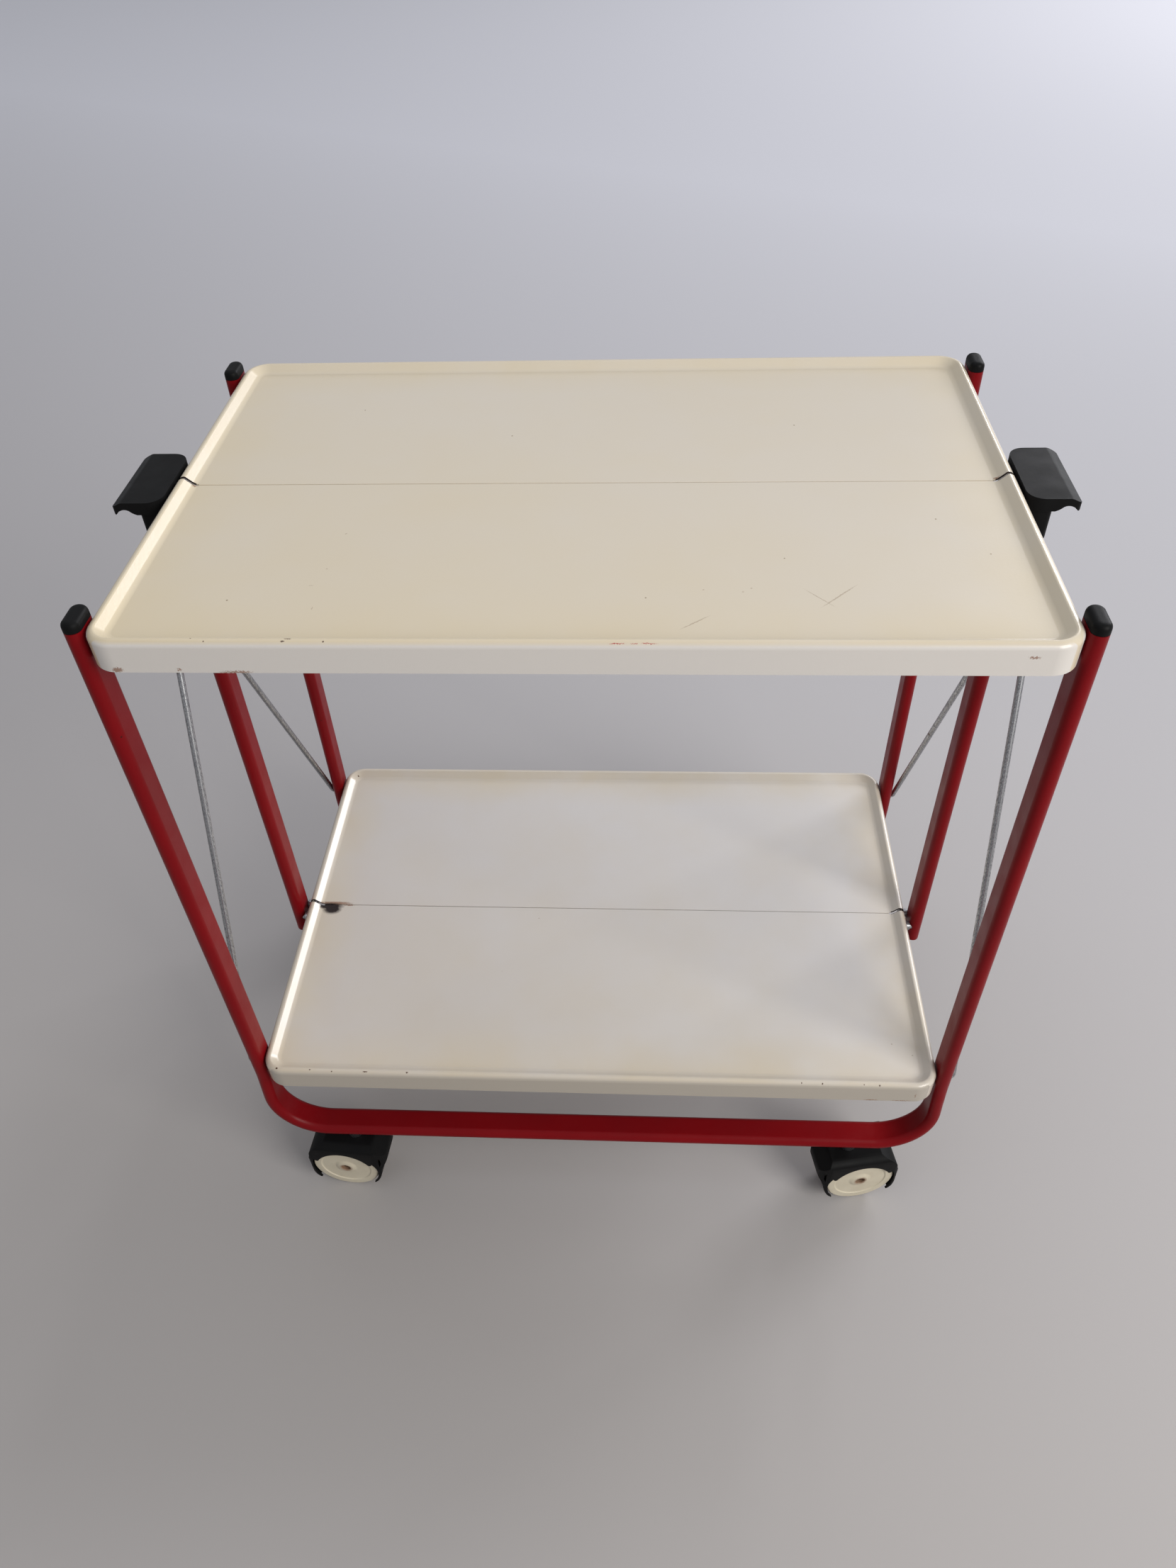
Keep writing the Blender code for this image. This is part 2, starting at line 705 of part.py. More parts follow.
def handle_profile():
    """The handle plate seen along Y: flat top, sloping lip, finger groove and gusset."""
    lip_x = HANDLE_REACH - HANDLE_LIP_ROUND
    lip_z = HANDLE_LIP_ROUND - HANDLE_LIP_DEPTH
    lip = arc((lip_x, lip_z), HANDLE_LIP_ROUND, math.radians(10), math.radians(-130), 4)
    groove_x = HANDLE_RIDGE - HANDLE_LIP_ROUND
    return (
        [(0, 0), (HANDLE_RIDGE, 0), (HANDLE_REACH, -HANDLE_LIP_DROP)]
        + lip
        + [
            (groove_x, -HANDLE_GROOVE_DEPTH),
            (HANDLE_POST_DEPTH, -HANDLE_GUSSET_DEPTH),
            (0, -HANDLE_GUSSET_DEPTH),
        ]
    )


def handle_plate(name):
    stand = Matrix.Rotation(math.pi / 2, 4, "X")
    mesh = plate_mesh(name, handle_profile(), HANDLE_LENGTH, stand)
    return mesh


def handle_plan(half, reach, inner, outer):
    """A plan view: large round corners next to the tray, small ones away from it."""
    quarter = math.pi / 2
    rear_in = arc((inner, half - inner), inner, quarter, 2 * quarter, 5)
    front_in = arc((inner, inner - half), inner, 2 * quarter, 3 * quarter, 5)
    front_out = arc((reach - outer, outer - half), outer, -quarter, 0, 3)
    rear_out = arc((reach - outer, half - outer), outer, 0, quarter, 3)
    return rear_in + front_in + front_out + rear_out


def handle_post():
    """The post that grips the upright: wide under the plate, drawn in to its foot."""
    shoulder = HANDLE_LENGTH - 2 * HANDLE_SHOULDER_INSET
    levels = (
        (HANDLE_LENGTH * HANDLE_FOOT_SHARE, -HANDLE_POST_HEIGHT),
        (shoulder, -HANDLE_SHOULDER),
        (shoulder, -HANDLE_GROOVE_DEPTH),
    )
    sections = []
    for length, height in levels:
        inner = HANDLE_CORNER * length / HANDLE_LENGTH
        outline = handle_plan(length / 2, HANDLE_POST_DEPTH, inner, HANDLE_TIP_CORNER)
        sections.append((outline, height))
    return stacked_mesh("handle_post", sections)


def add_handle(name, parent, turn):
    """Its own origin is level with the trays' rims, at its face next to the tray."""
    place = (HANDLE_X * math.cos(turn), 0, PIVOT_DROP)
    piece = add_piece(name, handle_plate(name), "black_plastic", parent, place, turn)
    reach = HANDLE_REACH + SEAT_GAP
    plan = handle_plan(HANDLE_LENGTH / 2, reach, HANDLE_CORNER, HANDLE_TIP_CORNER)
    mask = plate_mesh(name + "_mask", plan, 4 * HANDLE_LIP_DEPTH)
    combine(piece, mask, "INTERSECT")
    round_off(piece, HANDLE_EDGE, 1, 50)
    combine(piece, handle_post(), "UNION")
    tube_x = UPRIGHT_X - HANDLE_X
    width = TUBE_WIDTH + 2 * SEAT_GAP
    thickness = TUBE_THICKNESS + 2 * SEAT_GAP
    socket = [(y + tube_x, x) for x, y in oval(width, thickness)]
    low = -HANDLE_POST_HEIGHT - CUT_OVERRUN
    high = SEAT_GAP - UPRIGHT_TOP_DROP
    combine(piece, stacked_mesh(name + "_socket", [(socket, low), (socket, high)]))
    opening = CENTRE_Y + PIN_COLLAR_RADIUS + 2 * SEAT_GAP
    mouth = rounded_box(-CUT_OVERRUN, tube_x, opening, HANDLE_EDGE)
    combine(piece, stacked_mesh(name + "_mouth", [(mouth, low), (mouth, high)]))
    z = -HANDLE_SCREW_DROP
    start = (tube_x, 0, z)
    stop = (HANDLE_POST_DEPTH + CUT_OVERRUN, 0, z)
    hole = SCREW_RADIUS + SEAT_GAP
    combine(piece, cylinder_mesh(name + "_screw_hole", hole, start, stop))
    return piece


def add_handle_screw(name, parent, turn):
    """A screw from the handle's outer face into the upright. Its origin is on that face."""
    face = HANDLE_X + HANDLE_POST_DEPTH
    tip = UPRIGHT_X + TUBE_THICKNESS / 4 - face
    shank = [(0, tip), (SCREW_RADIUS, tip), (SCREW_RADIUS, SEAT_GAP)]
    head = [
        (SCREW_HEAD_RADIUS * a, SEAT_GAP + SCREW_HEAD_RISE * b)
        for a, b in reversed(PIN_DOME_SHARES)
    ]
    mesh = lying_mesh(name, shank + [(SCREW_HEAD_RADIUS, SEAT_GAP)] + head)
    place = (face * math.cos(turn), 0, PIVOT_DROP - HANDLE_SCREW_DROP)
    return add_piece(name, mesh, "zinc_steel", parent, place, turn)


def add_runner(name, parent, turn):
    """A sleeve that slides on the upright, with a hole for each rod's upper hook."""
    outline = rounded_box(0, RUNNER_DEPTH, RUNNER_WIDTH / 2, RUNNER_CORNER)
    half = RUNNER_HEIGHT / 2
    edge = RUNNER_EDGE
    slim = rounded_box(edge, RUNNER_DEPTH - edge, RUNNER_WIDTH / 2 - edge, RUNNER_CORNER)
    sections = [(slim, -half), (outline, edge - half), (outline, half - edge), (slim, half)]
    place = (RUNNER_X * math.cos(turn), 0, 0)
    mesh = stacked_mesh(name, sections)
    piece = add_piece(name, mesh, "black_plastic", parent, place, turn)
    tube_x = UPRIGHT_X - RUNNER_X
    width = TUBE_WIDTH + 2 * SEAT_GAP
    thickness = TUBE_THICKNESS + 2 * SEAT_GAP
    bore = [(y + tube_x, x) for x, y in oval(width, thickness)]
    reach = half + CUT_OVERRUN
    combine(piece, stacked_mesh(name + "_bore", [(bore, -reach), (bore, reach)]))
    for y in (-CENTRE_Y, CENTRE_Y):
        start = (RUNNER_DEPTH - RUNNER_HOLE_DEPTH, y, 0)
        stop = (RUNNER_DEPTH + CUT_OVERRUN, y, 0)
        combine(piece, cylinder_mesh(name + "_rod_hole", ROD_HOLE, start, stop))
    return piece


def wheel_mesh(name):
    """A wheel turned about Y, on the hub's -Y side: bore, boss and dished face."""
    face = WHEEL_FACE
    inner = WEB_HALF + 2 * SEAT_GAP
    dish = face - WHEEL_STEP
    boss = dish + WHEEL_STEP + WHEEL_BOSS_RISE
    bore = AXLE_RADIUS + SEAT_GAP
    profile = [
        (bore, boss),
        (WHEEL_BOSS_TOP_RADIUS, boss),
        (WHEEL_BOSS_RADIUS, dish),
        (WHEEL_DISH_RADIUS, dish),
        (WHEEL_DISH_RADIUS + WHEEL_STEP, face),
        (WHEEL_RADIUS - WHEEL_EDGE, face),
        (WHEEL_RADIUS, face - WHEEL_EDGE),
        (WHEEL_RADIUS, inner),
        (bore, inner),
        (bore, boss),
    ]
    step = math.pi / WHEEL_SIDES
    level = Matrix.Rotation(step, 4, "Y") @ Matrix.Rotation(math.pi / 2, 4, "X")
    return turned_mesh(name, profile, WHEEL_SIDES, level)


def hood_outline():
    """The hood seen along its axle, from the hub. +X is where the wheels trail."""
    outer = WHEEL_RADIUS + HOOD_WHEEL_GAP + HOOD_WALL
    top = HOOD_HEIGHT - HUB_HEIGHT
    half_turn = math.pi
    trailing = arc((0, 0), outer, -HOOD_WRAP, -HOOD_WRAP / 3, 2)
    side = [(WHEEL_RADIUS * a, WHEEL_RADIUS * b) for a, b in TRAIL_SIDE_SHARES]
    roof = [(HOOD_TOP_END, top), (-HOOD_LEAD_TOP, top)]
    front = [(-HOOD_LEAD, HOOD_BREAK), (-HOOD_LEAD, HOOD_WAIST)]
    leading = arc((0, 0), outer, half_turn - HOOD_LEAD_ANGLE, half_turn + HOOD_WRAP, 3)
    return trailing + side + roof + front + leading


def hood_plan():
    """The hood seen from above, from the hub, with its four upright corners rounded."""
    quarter = math.pi / 2
    lead, trail = HOOD_LEAD_CORNER, HOOD_TRAIL_CORNER
    half = HOOD_HALF_DEPTH + SEAT_GAP
    far = WHEEL_RADIUS * max(a for a, b in TRAIL_SIDE_SHARES) + SEAT_GAP
    near = -HOOD_LEAD - SEAT_GAP
    return (
        arc((far - trail, half - trail), trail, 0, quarter, 3)
        + arc((near + lead, half - lead), lead, quarter, 2 * quarter, 3)
        + arc((near + lead, lead - half), lead, 2 * quarter, 3 * quarter, 3)
        + arc((far - trail, trail - half), trail, 3 * quarter, 4 * quarter, 3)
    )


def hood_shoulders():
    """The hood seen from its end, from the hub: sloping shoulders under a flat top."""
    top = HOOD_HEIGHT - HUB_HEIGHT
    half = HOOD_HALF_DEPTH + SEAT_GAP
    flat = HOOD_HALF_DEPTH - HOOD_SHOULDER
    right = [(half, -top), (half, top - HOOD_SHOULDER_DROP), (flat, top + SEAT_GAP)]
    left = [(-across, height) for across, height in reversed(right)]
    return right + left


def hood_cavity():
    """The space for one wheel, inside the hood's walls."""
    room = HOOD_ROOM
    full = arc((0, 0), room, math.radians(-70), math.radians(24), 7)
    side = [(WHEEL_RADIUS * a, WHEEL_RADIUS * b) for a, b in TRAIL_ROOM_SHARES]
    lead = [
        (HOOD_TOP_END - HOOD_WALL, room),
        (-HOOD_ROOM_LEAD, room),
        (-HOOD_ROOM_LEAD, HOOD_WAIST),
    ]
    rest = arc((0, 0), room, math.radians(174), math.radians(250), 4)
    low = 2 * WHEEL_RADIUS
    return full + side + lead + rest + [(-HOOD_WALL, -low), (HOOD_WALL, -low)]


def skirt_window():
    """What the skirt leaves open: an arch over the hub that flares out to the sides."""
    room = WHEEL_RADIUS + SEAT_GAP
    flare = ARCH_EDGE + FLARE_RISE
    edge = math.asin(flare / room)
    dip = math.asin(ARCH_EDGE / ARCH_RADIUS)
    low = arc((0, 0), room, -math.pi - edge, edge, 12)
    arch = arc((0, 0), ARCH_RADIUS, dip, math.pi - dip, 7)
    return low + arch


def add_hood(name, parent):
    """The castor's body: hood, skirts on both faces and the web that holds the axle."""
    stand = Matrix.Rotation(math.pi / 2, 4, "X")
    hub = Matrix.Translation((CASTOR_TRAIL, 0, HUB_HEIGHT - HOOD_HEIGHT))
    mesh = plate_mesh(name, hood_outline(), 2 * HOOD_HALF_DEPTH, hub @ stand)
    piece = add_piece(name, mesh, "black_plastic", parent)
    round_off(piece, HOOD_EDGE, 1, 80)
    combine(piece, plate_mesh(name + "_plan", hood_plan(), 4 * HOOD_HEIGHT, hub), "INTERSECT")
    along = hub @ Matrix.Rotation(math.pi / 2, 4, "Z") @ stand
    end_view = plate_mesh(name + "_shoulders", hood_shoulders(), 4 * HOOD_LEAD, along)
    combine(piece, end_view, "INTERSECT")
    skin = HOOD_HALF_DEPTH - HOOD_WALL
    for side in (-1, 1):
        middle = Matrix.Translation((0, side * (WEB_HALF + skin) / 2, 0))
        well = plate_mesh(name + "_well", hood_cavity(), skin - WEB_HALF, hub @ middle @ stand)
        combine(piece, well)
        face = Matrix.Translation((0, side * HOOD_HALF_DEPTH, 0))
        depth = 2 * HOOD_WALL + 2 * SEAT_GAP
        window = plate_mesh(name + "_window", skirt_window(), depth, hub @ face @ stand)
        combine(piece, window)
    foot = plate_mesh(name + "_foot", web_relief(), 4 * WEB_HALF, hub @ stand)
    combine(piece, foot)
    start = (CASTOR_TRAIL, -2 * WEB_HALF, HUB_HEIGHT - HOOD_HEIGHT)
    stop = (CASTOR_TRAIL, 2 * WEB_HALF, HUB_HEIGHT - HOOD_HEIGHT)
    combine(piece, cylinder_mesh(name + "_axle", AXLE_RADIUS + SEAT_GAP, start, stop))
    start = (0, 0, CUT_OVERRUN)
    stop = (0, 0, -STEM_REACH - SEAT_GAP)
    combine(piece, cylinder_mesh(name + "_bore", STEM_RADIUS + SEAT_GAP, start, stop))
    return piece


def web_relief():
    """Trims the web below the axle, so that it clears the floor."""
    boss = arc((0, 0), WEB_BOSS, -math.pi, 0, 6)
    wide = WHEEL_RADIUS - HOOD_WALL
    low = -2 * WHEEL_RADIUS
    left = [(-wide, WEB_CUT_HEIGHT), (-WEB_BOSS, WEB_CUT_HEIGHT)]
    right = [(WEB_BOSS, WEB_CUT_HEIGHT), (wide, WEB_CUT_HEIGHT)]
    return left + boss + right + [(wide, low), (-wide, low)]


def stem_mesh(name):
    """The castor's stem. Its origin is where the hood's flat top turns against it."""
    reach = STEM_COLLAR + 2 * SEAT_GAP + TUBE_THICKNESS - TUBE_WALL - 2 * SEAT_GAP
    profile = [
        (0, reach),
        (STEM_SHANK_RADIUS, reach),
        (STEM_SHANK_RADIUS, SEAT_GAP + STEM_COLLAR),
        (STEM_COLLAR_RADIUS, SEAT_GAP + STEM_COLLAR),
        (STEM_COLLAR_RADIUS, SEAT_GAP),
        (STEM_RADIUS, SEAT_GAP),
        (STEM_RADIUS, -STEM_REACH),
        (0, -STEM_REACH),
    ]
    return turned_mesh(name, profile, PIN_SIDES)


def add_castor(name, frame_empty, stem_place, heading, outer_turn):
    """A twin-wheel castor: stem, hood, axle and two wheels that turn by themselves."""
    add_piece(name + "_stem", stem_mesh(name), "zinc_steel", frame_empty, stem_place)
    swivel = joint_empty(name + "_swivel", stem_place, heading, frame_empty)
    add_hood(name + "_hood", swivel)
    hub = (CASTOR_TRAIL, 0, HUB_HEIGHT - HOOD_HEIGHT)
    half = WHEEL_FACE + WHEEL_BOSS_RISE - AXLE_RECESS
    mesh = cylinder_mesh(name + "_axle", AXLE_RADIUS, (0, -half, 0), (0, half, 0))
    add_piece(name + "_axle", mesh, "zinc_steel", swivel, hub)
    for label, turn in (("outer", outer_turn), ("inner", outer_turn + math.pi)):
        axis = joint_empty(f"{name}_{label}_spin", hub, turn, swivel)
        add_piece(f"{name}_{label}_wheel", wheel_mesh(name), "ivory_plastic", axis)


def add_frame_side(side, turn, ends):
    """One U-shaped frame with all that is fixed to it, its rods and its castors.

    ends names the trolley's ends that lie to -X and to +X of the frame's own axes.
    """
    flip = Matrix.Rotation(turn, 4, "Z")
    frame = joint_empty(side + "_frame", flip @ Vector((0, -LEG_Y, 0)), turn)
    add_frame(side + "_frame_tube", frame)
    foot = Vector((0, -LEG_Y, PIVOT_HEIGHTS["lower"]))
    rods = joint_empty(side + "_rods", flip @ foot, turn)
    for sign, end, yaw in zip((-1, 1), ends, CASTOR_YAWS[side]):
        corner = f"{side}_{end}"
        away = 0.0 if sign > 0 else math.pi
        top = (sign * LEG_X, 0, LEG_TOP)
        add_piece(corner + "_leg_cap", cap_mesh(), "black_plastic", frame, top)
        place = (sign * STEM_X, -FRAME_SPLAY, HOOD_HEIGHT)
        add_castor(corner + "_castor", frame, place, away + yaw, away)
        pivot = (sign * HALF_LENGTH, 0, PIVOT_HEIGHTS["upper"])
        mesh = pivot_pin_mesh(corner + "_leg_rivet", LEG_GAP + PIN_REACH, CORNER_GAP)
        add_piece(corner + "_leg_rivet", mesh, "zinc_steel", frame, pivot, away)
        add_rod(corner + "_rod", rods, foot, sign)
        hook = (sign * HALF_LENGTH, 0, 0)
        add_piece(corner + "_lock_cap", lock_cap_mesh(), "zinc_steel", rods, hook, away)


def add_trays():
    """Four halves. Only the front ones hang on their frame's pivots at the legs."""
    for level, height in PIVOT_HEIGHTS.items():
        leg_hole = HOLE_RADIUS if level == "upper" else ROD_HOLE
        front = joint_empty(level + "_front_fold", (0, -LEG_Y, height))
        add_tray_half(level + "_front_tray", front, -LEG_Y, leg_hole)
        rear = joint_empty(level + "_rear_fold", (0, CENTRE_Y, height), math.pi)
        add_tray_half(level + "_rear_tray", rear, -CENTRE_Y, leg_hole)


def add_middle():
    """The uprights with their handles and the rivets that the trays' seams hang on."""
    middle = joint_empty("middle", (0, -CENTRE_Y, PIVOT_HEIGHTS["upper"]))
    centred = joint_empty("middle_centre", (0, CENTRE_Y, 0), 0.0, middle)
    runners = joint_empty("runner_slide", (0, 0, ROD_TOP_Z))
    for end, sign, turn in (("left", -1, math.pi), ("right", 1, 0.0)):
        add_upright(end + "_upright", centred, turn)
        add_handle(end + "_handle", centred, turn)
        add_handle_screw(end + "_handle_screw", centred, turn)
        add_runner(end + "_runner", runners, turn)
        for level, height in PIVOT_HEIGHTS.items():
            for side, y in (("front", -CENTRE_Y), ("rear", CENTRE_Y)):
                name = f"{level}_{side}_{end}_centre_rivet"
                mesh = pivot_pin_mesh(name, UPRIGHT_GAP + PIN_REACH, collar=UPRIGHT_GAP)
                place = (sign * HALF_LENGTH, y, height - PIVOT_HEIGHTS["upper"])
                add_piece(name, mesh, "zinc_steel", centred, place, turn)


start_scene()
add_frame_side("front", 0.0, ("left", "right"))
add_frame_side("rear", math.pi, ("right", "left"))
add_trays()
add_middle()
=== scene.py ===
import json
import math

import bpy
from mathutils import Matrix, Vector


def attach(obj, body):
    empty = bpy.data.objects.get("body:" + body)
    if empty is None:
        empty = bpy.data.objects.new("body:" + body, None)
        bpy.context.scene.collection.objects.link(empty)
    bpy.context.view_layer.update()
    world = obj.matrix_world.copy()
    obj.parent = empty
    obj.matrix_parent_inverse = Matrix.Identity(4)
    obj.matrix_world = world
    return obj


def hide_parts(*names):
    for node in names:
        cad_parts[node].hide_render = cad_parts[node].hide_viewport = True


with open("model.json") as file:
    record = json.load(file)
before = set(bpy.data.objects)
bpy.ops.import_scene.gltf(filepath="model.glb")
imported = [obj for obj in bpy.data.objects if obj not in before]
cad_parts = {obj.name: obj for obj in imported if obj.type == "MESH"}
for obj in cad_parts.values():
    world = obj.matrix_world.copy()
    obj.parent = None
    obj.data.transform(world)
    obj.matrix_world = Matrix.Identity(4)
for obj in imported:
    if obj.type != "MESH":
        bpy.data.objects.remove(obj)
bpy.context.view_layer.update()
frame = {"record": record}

# Small helpers for working by hand in object and edit mode


def setMode(mode):
    bpy.ops.object.mode_set(mode=mode)


def selectAll():  # in edit mode
    bpy.ops.mesh.select_all(action="SELECT")


def clearSelection():
    if bpy.context.object and bpy.context.object.mode != "OBJECT":
        setMode("OBJECT")
    bpy.ops.object.select_all(action="DESELECT")


def pickPiece(piece):
    clearSelection()
    piece.select_set(True)
    bpy.context.view_layer.objects.active = piece


def applyPlace(piece):
    pickPiece(piece)
    bpy.ops.object.transform_apply(location=True, rotation=True, scale=True)


def pickParts(kind, test):  # selects verts, edges or faces of the active mesh by their place
    setMode("EDIT")
    bpy.ops.mesh.select_mode(type=kind)
    bpy.ops.mesh.select_all(action="DESELECT")
    setMode("OBJECT")
    mesh = bpy.context.object.data
    points = [vert.co for vert in mesh.vertices]
    if kind == "VERT":
        for vert in mesh.vertices:
            vert.select = test(vert.co)
    elif kind == "EDGE":
        for edge in mesh.edges:
            edge.select = test(*(points[i] for i in edge.vertices))
    else:
        for face in mesh.polygons:
            face.select = test(face.normal, face.center)
    setMode("EDIT")


def pushOut(value):  # extrudes what is selected and moves it
    bpy.ops.mesh.extrude_region_move(TRANSFORM_OT_translate={"value": value})


def addModifier(piece, kind, **settings):
    pickPiece(piece)
    change = piece.modifiers.new(kind.lower(), kind)
    for name, value in settings.items():
        setattr(change, name, value)
    bpy.ops.object.modifier_apply(modifier=change.name)


def combine(piece, cutter, operation="DIFFERENCE"):
    addModifier(piece, "BOOLEAN", object=cutter, operation=operation, solver="EXACT")
    bpy.data.objects.remove(cutter)


def cutBlock(piece, size, place):
    clearSelection()
    bpy.ops.mesh.primitive_cube_add(size=1, scale=size, location=place)
    combine(piece, bpy.context.object)


def drill(piece, radius, start, end):
    start, end = Vector(start), Vector(end)
    run = end - start
    clearSelection()
    bpy.ops.mesh.primitive_cylinder_add(
        vertices=24, radius=radius, depth=run.length, location=(start + end) / 2,
        rotation=run.to_track_quat("Z", "Y").to_euler(),
    )
    combine(piece, bpy.context.object)


def softenEdges(piece, width, segments, angle):
    addModifier(
        piece, "BEVEL", width=width, segments=segments, limit_method="ANGLE",
        angle_limit=math.radians(angle), use_clamp_overlap=True, harden_normals=False,
    )


def breakEdges(piece):  # as cut metal is deburred
    softenEdges(piece, 0.0003, 2, 60)


def finishShape(piece, name, material, angle):
    applyPlace(piece)
    bpy.ops.object.shade_smooth_by_angle(angle=math.radians(angle))
    addModifier(piece, "WEIGHTED_NORMAL", keep_sharp=True, weight=75)
    piece.name = name
    piece.data.name = name
    piece.data.materials.clear()
    piece.data.materials.append(material)
    return piece


def copyPiece(source, name, turn=0.0, move=(0, 0, 0)):
    pickPiece(source)
    bpy.ops.object.duplicate(linked=False)
    piece = bpy.context.object
    piece.rotation_euler = (0, 0, turn)
    piece.location = move
    applyPlace(piece)
    piece.name = name
    piece.data.name = name
    return piece


def drop(piece):
    bpy.data.objects.remove(piece)


def cleanMesh():  # in edit mode: welds doubles and turns the faces outwards
    selectAll()
    bpy.ops.mesh.remove_doubles(threshold=0.00001)
    bpy.ops.mesh.normals_make_consistent(inside=False)
    setMode("OBJECT")


def closedLine(points):  # leaves the line selected in edit mode
    clearSelection()
    bpy.ops.mesh.primitive_circle_add(vertices=len(points), radius=0.01)
    piece = bpy.context.object
    for vert, point in zip(piece.data.vertices, points):
        vert.co = point
    setMode("EDIT")
    selectAll()
    return piece


def outlinePiece(points, depth, plan=False):  # a drawn outline, pulled to both sides of its plane
    low = -depth / 2
    piece = closedLine([(a, b, low) if plan else (a, low, b) for a, b in points])
    bpy.ops.mesh.edge_face_add()
    pushOut((0, 0, depth) if plan else (0, depth, 0))
    cleanMesh()
    return piece


def spunPiece(points, steps):  # a section of (radius, place), spun about the Y axis
    piece = closedLine([(radius, place, 0) for radius, place in points])
    bpy.ops.mesh.spin(steps=steps, angle=math.tau, center=(0, 0, 0), axis=(0, 1, 0))
    cleanMesh()
    return piece


def spunAcross(section, steps):  # the same, spun about the X axis
    piece = spunPiece([(radius, -place) for radius, place in section], steps)
    piece.rotation_euler = (0, 0, math.pi / 2)
    applyPlace(piece)
    return piece


def arcPoints(centre, radius, start, end, steps):  # angles in degrees
    turns = [math.radians(start + (end - start) * i / steps) for i in range(steps + 1)]
    return [(centre[0] + radius * math.cos(t), centre[1] + radius * math.sin(t)) for t in turns]


def roundedPlan(half, near, far, nearRound, farRound, farSteps=6):  # seen from above, ends on X
    a, b = near + nearRound, far - farRound
    return (
        arcPoints((a, half - nearRound), nearRound, 90, 180, 10)
        + arcPoints((a, nearRound - half), nearRound, 180, 270, 10)
        + arcPoints((b, farRound - half), farRound, 270, 360, farSteps)
        + arcPoints((b, half - farRound), farRound, 0, 90, farSteps)
    )


def cutCorners(points, rounds):  # softens an open line by cutting its corners
    for _ in range(rounds):
        softer = [points[0]]
        for (ax, ay), (bx, by) in zip(points, points[1:]):
            softer.append((ax * 0.75 + bx * 0.25, ay * 0.75 + by * 0.25))
            softer.append((ax * 0.25 + bx * 0.75, ay * 0.25 + by * 0.75))
        points = softer + [points[-1]]
    return points


def sweepAlong(line, bend, steps):  # in edit mode: the open ring follows runs and round bends
    line = [Vector(corner) for corner in line]
    here = line[0]
    for corner, after in zip(line[1:-1], line[2:]):
        back = (here - corner).normalized()
        ahead = (after - corner).normalized()
        half = back.angle(ahead) / 2
        reach = bend / math.tan(half)
        pushOut(corner + back * reach - here)
        centre = corner + (back + ahead).normalized() * (bend / math.sin(half))
        axis = ahead.cross(back).normalized()
        angle = math.pi - 2 * half
        bpy.ops.mesh.spin(steps=steps, angle=-angle, center=centre, axis=axis)
        here = corner + ahead * reach
    pushOut(line[-1] - here)


bodyOf = {}
for body, nodes in frame["record"]["behaviour"]["bodies"].items():
    for node in nodes:
        bodyOf[node] = body
corners = [  # how the pieces' and the nodes' names start, and the signs of y and x
    (side + end.title(), f"{side}_{end}", way, hand)
    for side, way in (("front", -1), ("rear", 1)) for end, hand in (("left", -1), ("right", 1))
]


def standFor(piece, node):  # the piece takes the node's place and body: the node is hidden and the piece joins its body
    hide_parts(node)
    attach(piece, bodyOf[node])


def standPair(piece, kind):  # the piece is the right one, and its copy the left one
    standFor(piece, "right_" + kind)
    name = "left" + piece.name.removeprefix("right")
    standFor(copyPiece(piece, name, math.pi), "left_" + kind)


# Materials: every pattern is worked out from the piece's own coordinates


def hexColour(code):  # an sRGB hex value as the linear colour that the nodes take
    channels = [int(code[i:i + 2], 16) / 255 for i in (1, 3, 5)]
    linear = [c / 12.92 if c <= 0.04045 else ((c + 0.055) / 1.055) ** 2.4 for c in channels]
    return (*linear, 1.0)


def addNode(tree, kind, settings=None, links=None):
    node = tree.nodes.new(kind)
    for name, value in (settings or {}).items():
        if isinstance(name, int) or name in node.inputs:
            node.inputs[name].default_value = value
        else:
            setattr(node, name, value)
    for name, socket in (links or {}).items():
        tree.links.new(socket, node.inputs[name])
    return node


def operate(tree, kind, operation, terms, settings):  # the terms are sockets or constants
    settings, links = {"operation": operation, **settings}, {}
    for i, term in enumerate(terms):
        (links if isinstance(term, bpy.types.NodeSocket) else settings)[i] = term
    return addNode(tree, kind, settings, links)


def mathOf(tree, operation, *terms, **settings):
    return operate(tree, "ShaderNodeMath", operation, terms, settings).outputs[0]


def times(tree, one, other):
    return mathOf(tree, "MULTIPLY", one, other)


def vectorOf(tree, operation, *terms, output="Vector"):
    return operate(tree, "ShaderNodeVectorMath", operation, terms, {}).outputs[output]


def noiseOf(tree, where, scale, detail, roughness=0.5, output="Fac"):
    settings = {"Scale": scale, "Detail": detail, "Roughness": roughness}
    return addNode(tree, "ShaderNodeTexNoise", settings, {"Vector": where}).outputs[output]


def dotsOf(tree, where, scale, radius):  # scattered dots, one in each cell
    cells = addNode(tree, "ShaderNodeTexVoronoi", {"Scale": scale}, {"Vector": where})
    return mathOf(tree, "LESS_THAN", cells.outputs["Distance"], radius)


def remap(tree, value, start, end, low=0.0, high=1.0):
    settings = {"From Min": start, "From Max": end, "To Min": low, "To Max": high}
    return addNode(tree, "ShaderNodeMapRange", settings, {"Value": value}).outputs["Result"]


def roughOver(tree, noise, low, high):  # roughness that follows a noise
    return remap(tree, noise, 0.3, 0.7, low, high)


def colourOver(tree, under, code, mask):  # lays one colour over another by a mask
    settings, links = {"data_type": "RGBA", 7: hexColour(code)}, {0: mask}
    if isinstance(under, str):
        settings[6] = hexColour(under)
    else:
        links[6] = under
    return addNode(tree, "ShaderNodeMix", settings, links).outputs[2]


def bumpOf(tree, height, strength, distance, **links):
    settings = {"Strength": strength, "Distance": distance}
    return addNode(tree, "ShaderNodeBump", settings, {"Height": height, **links}).outputs["Normal"]


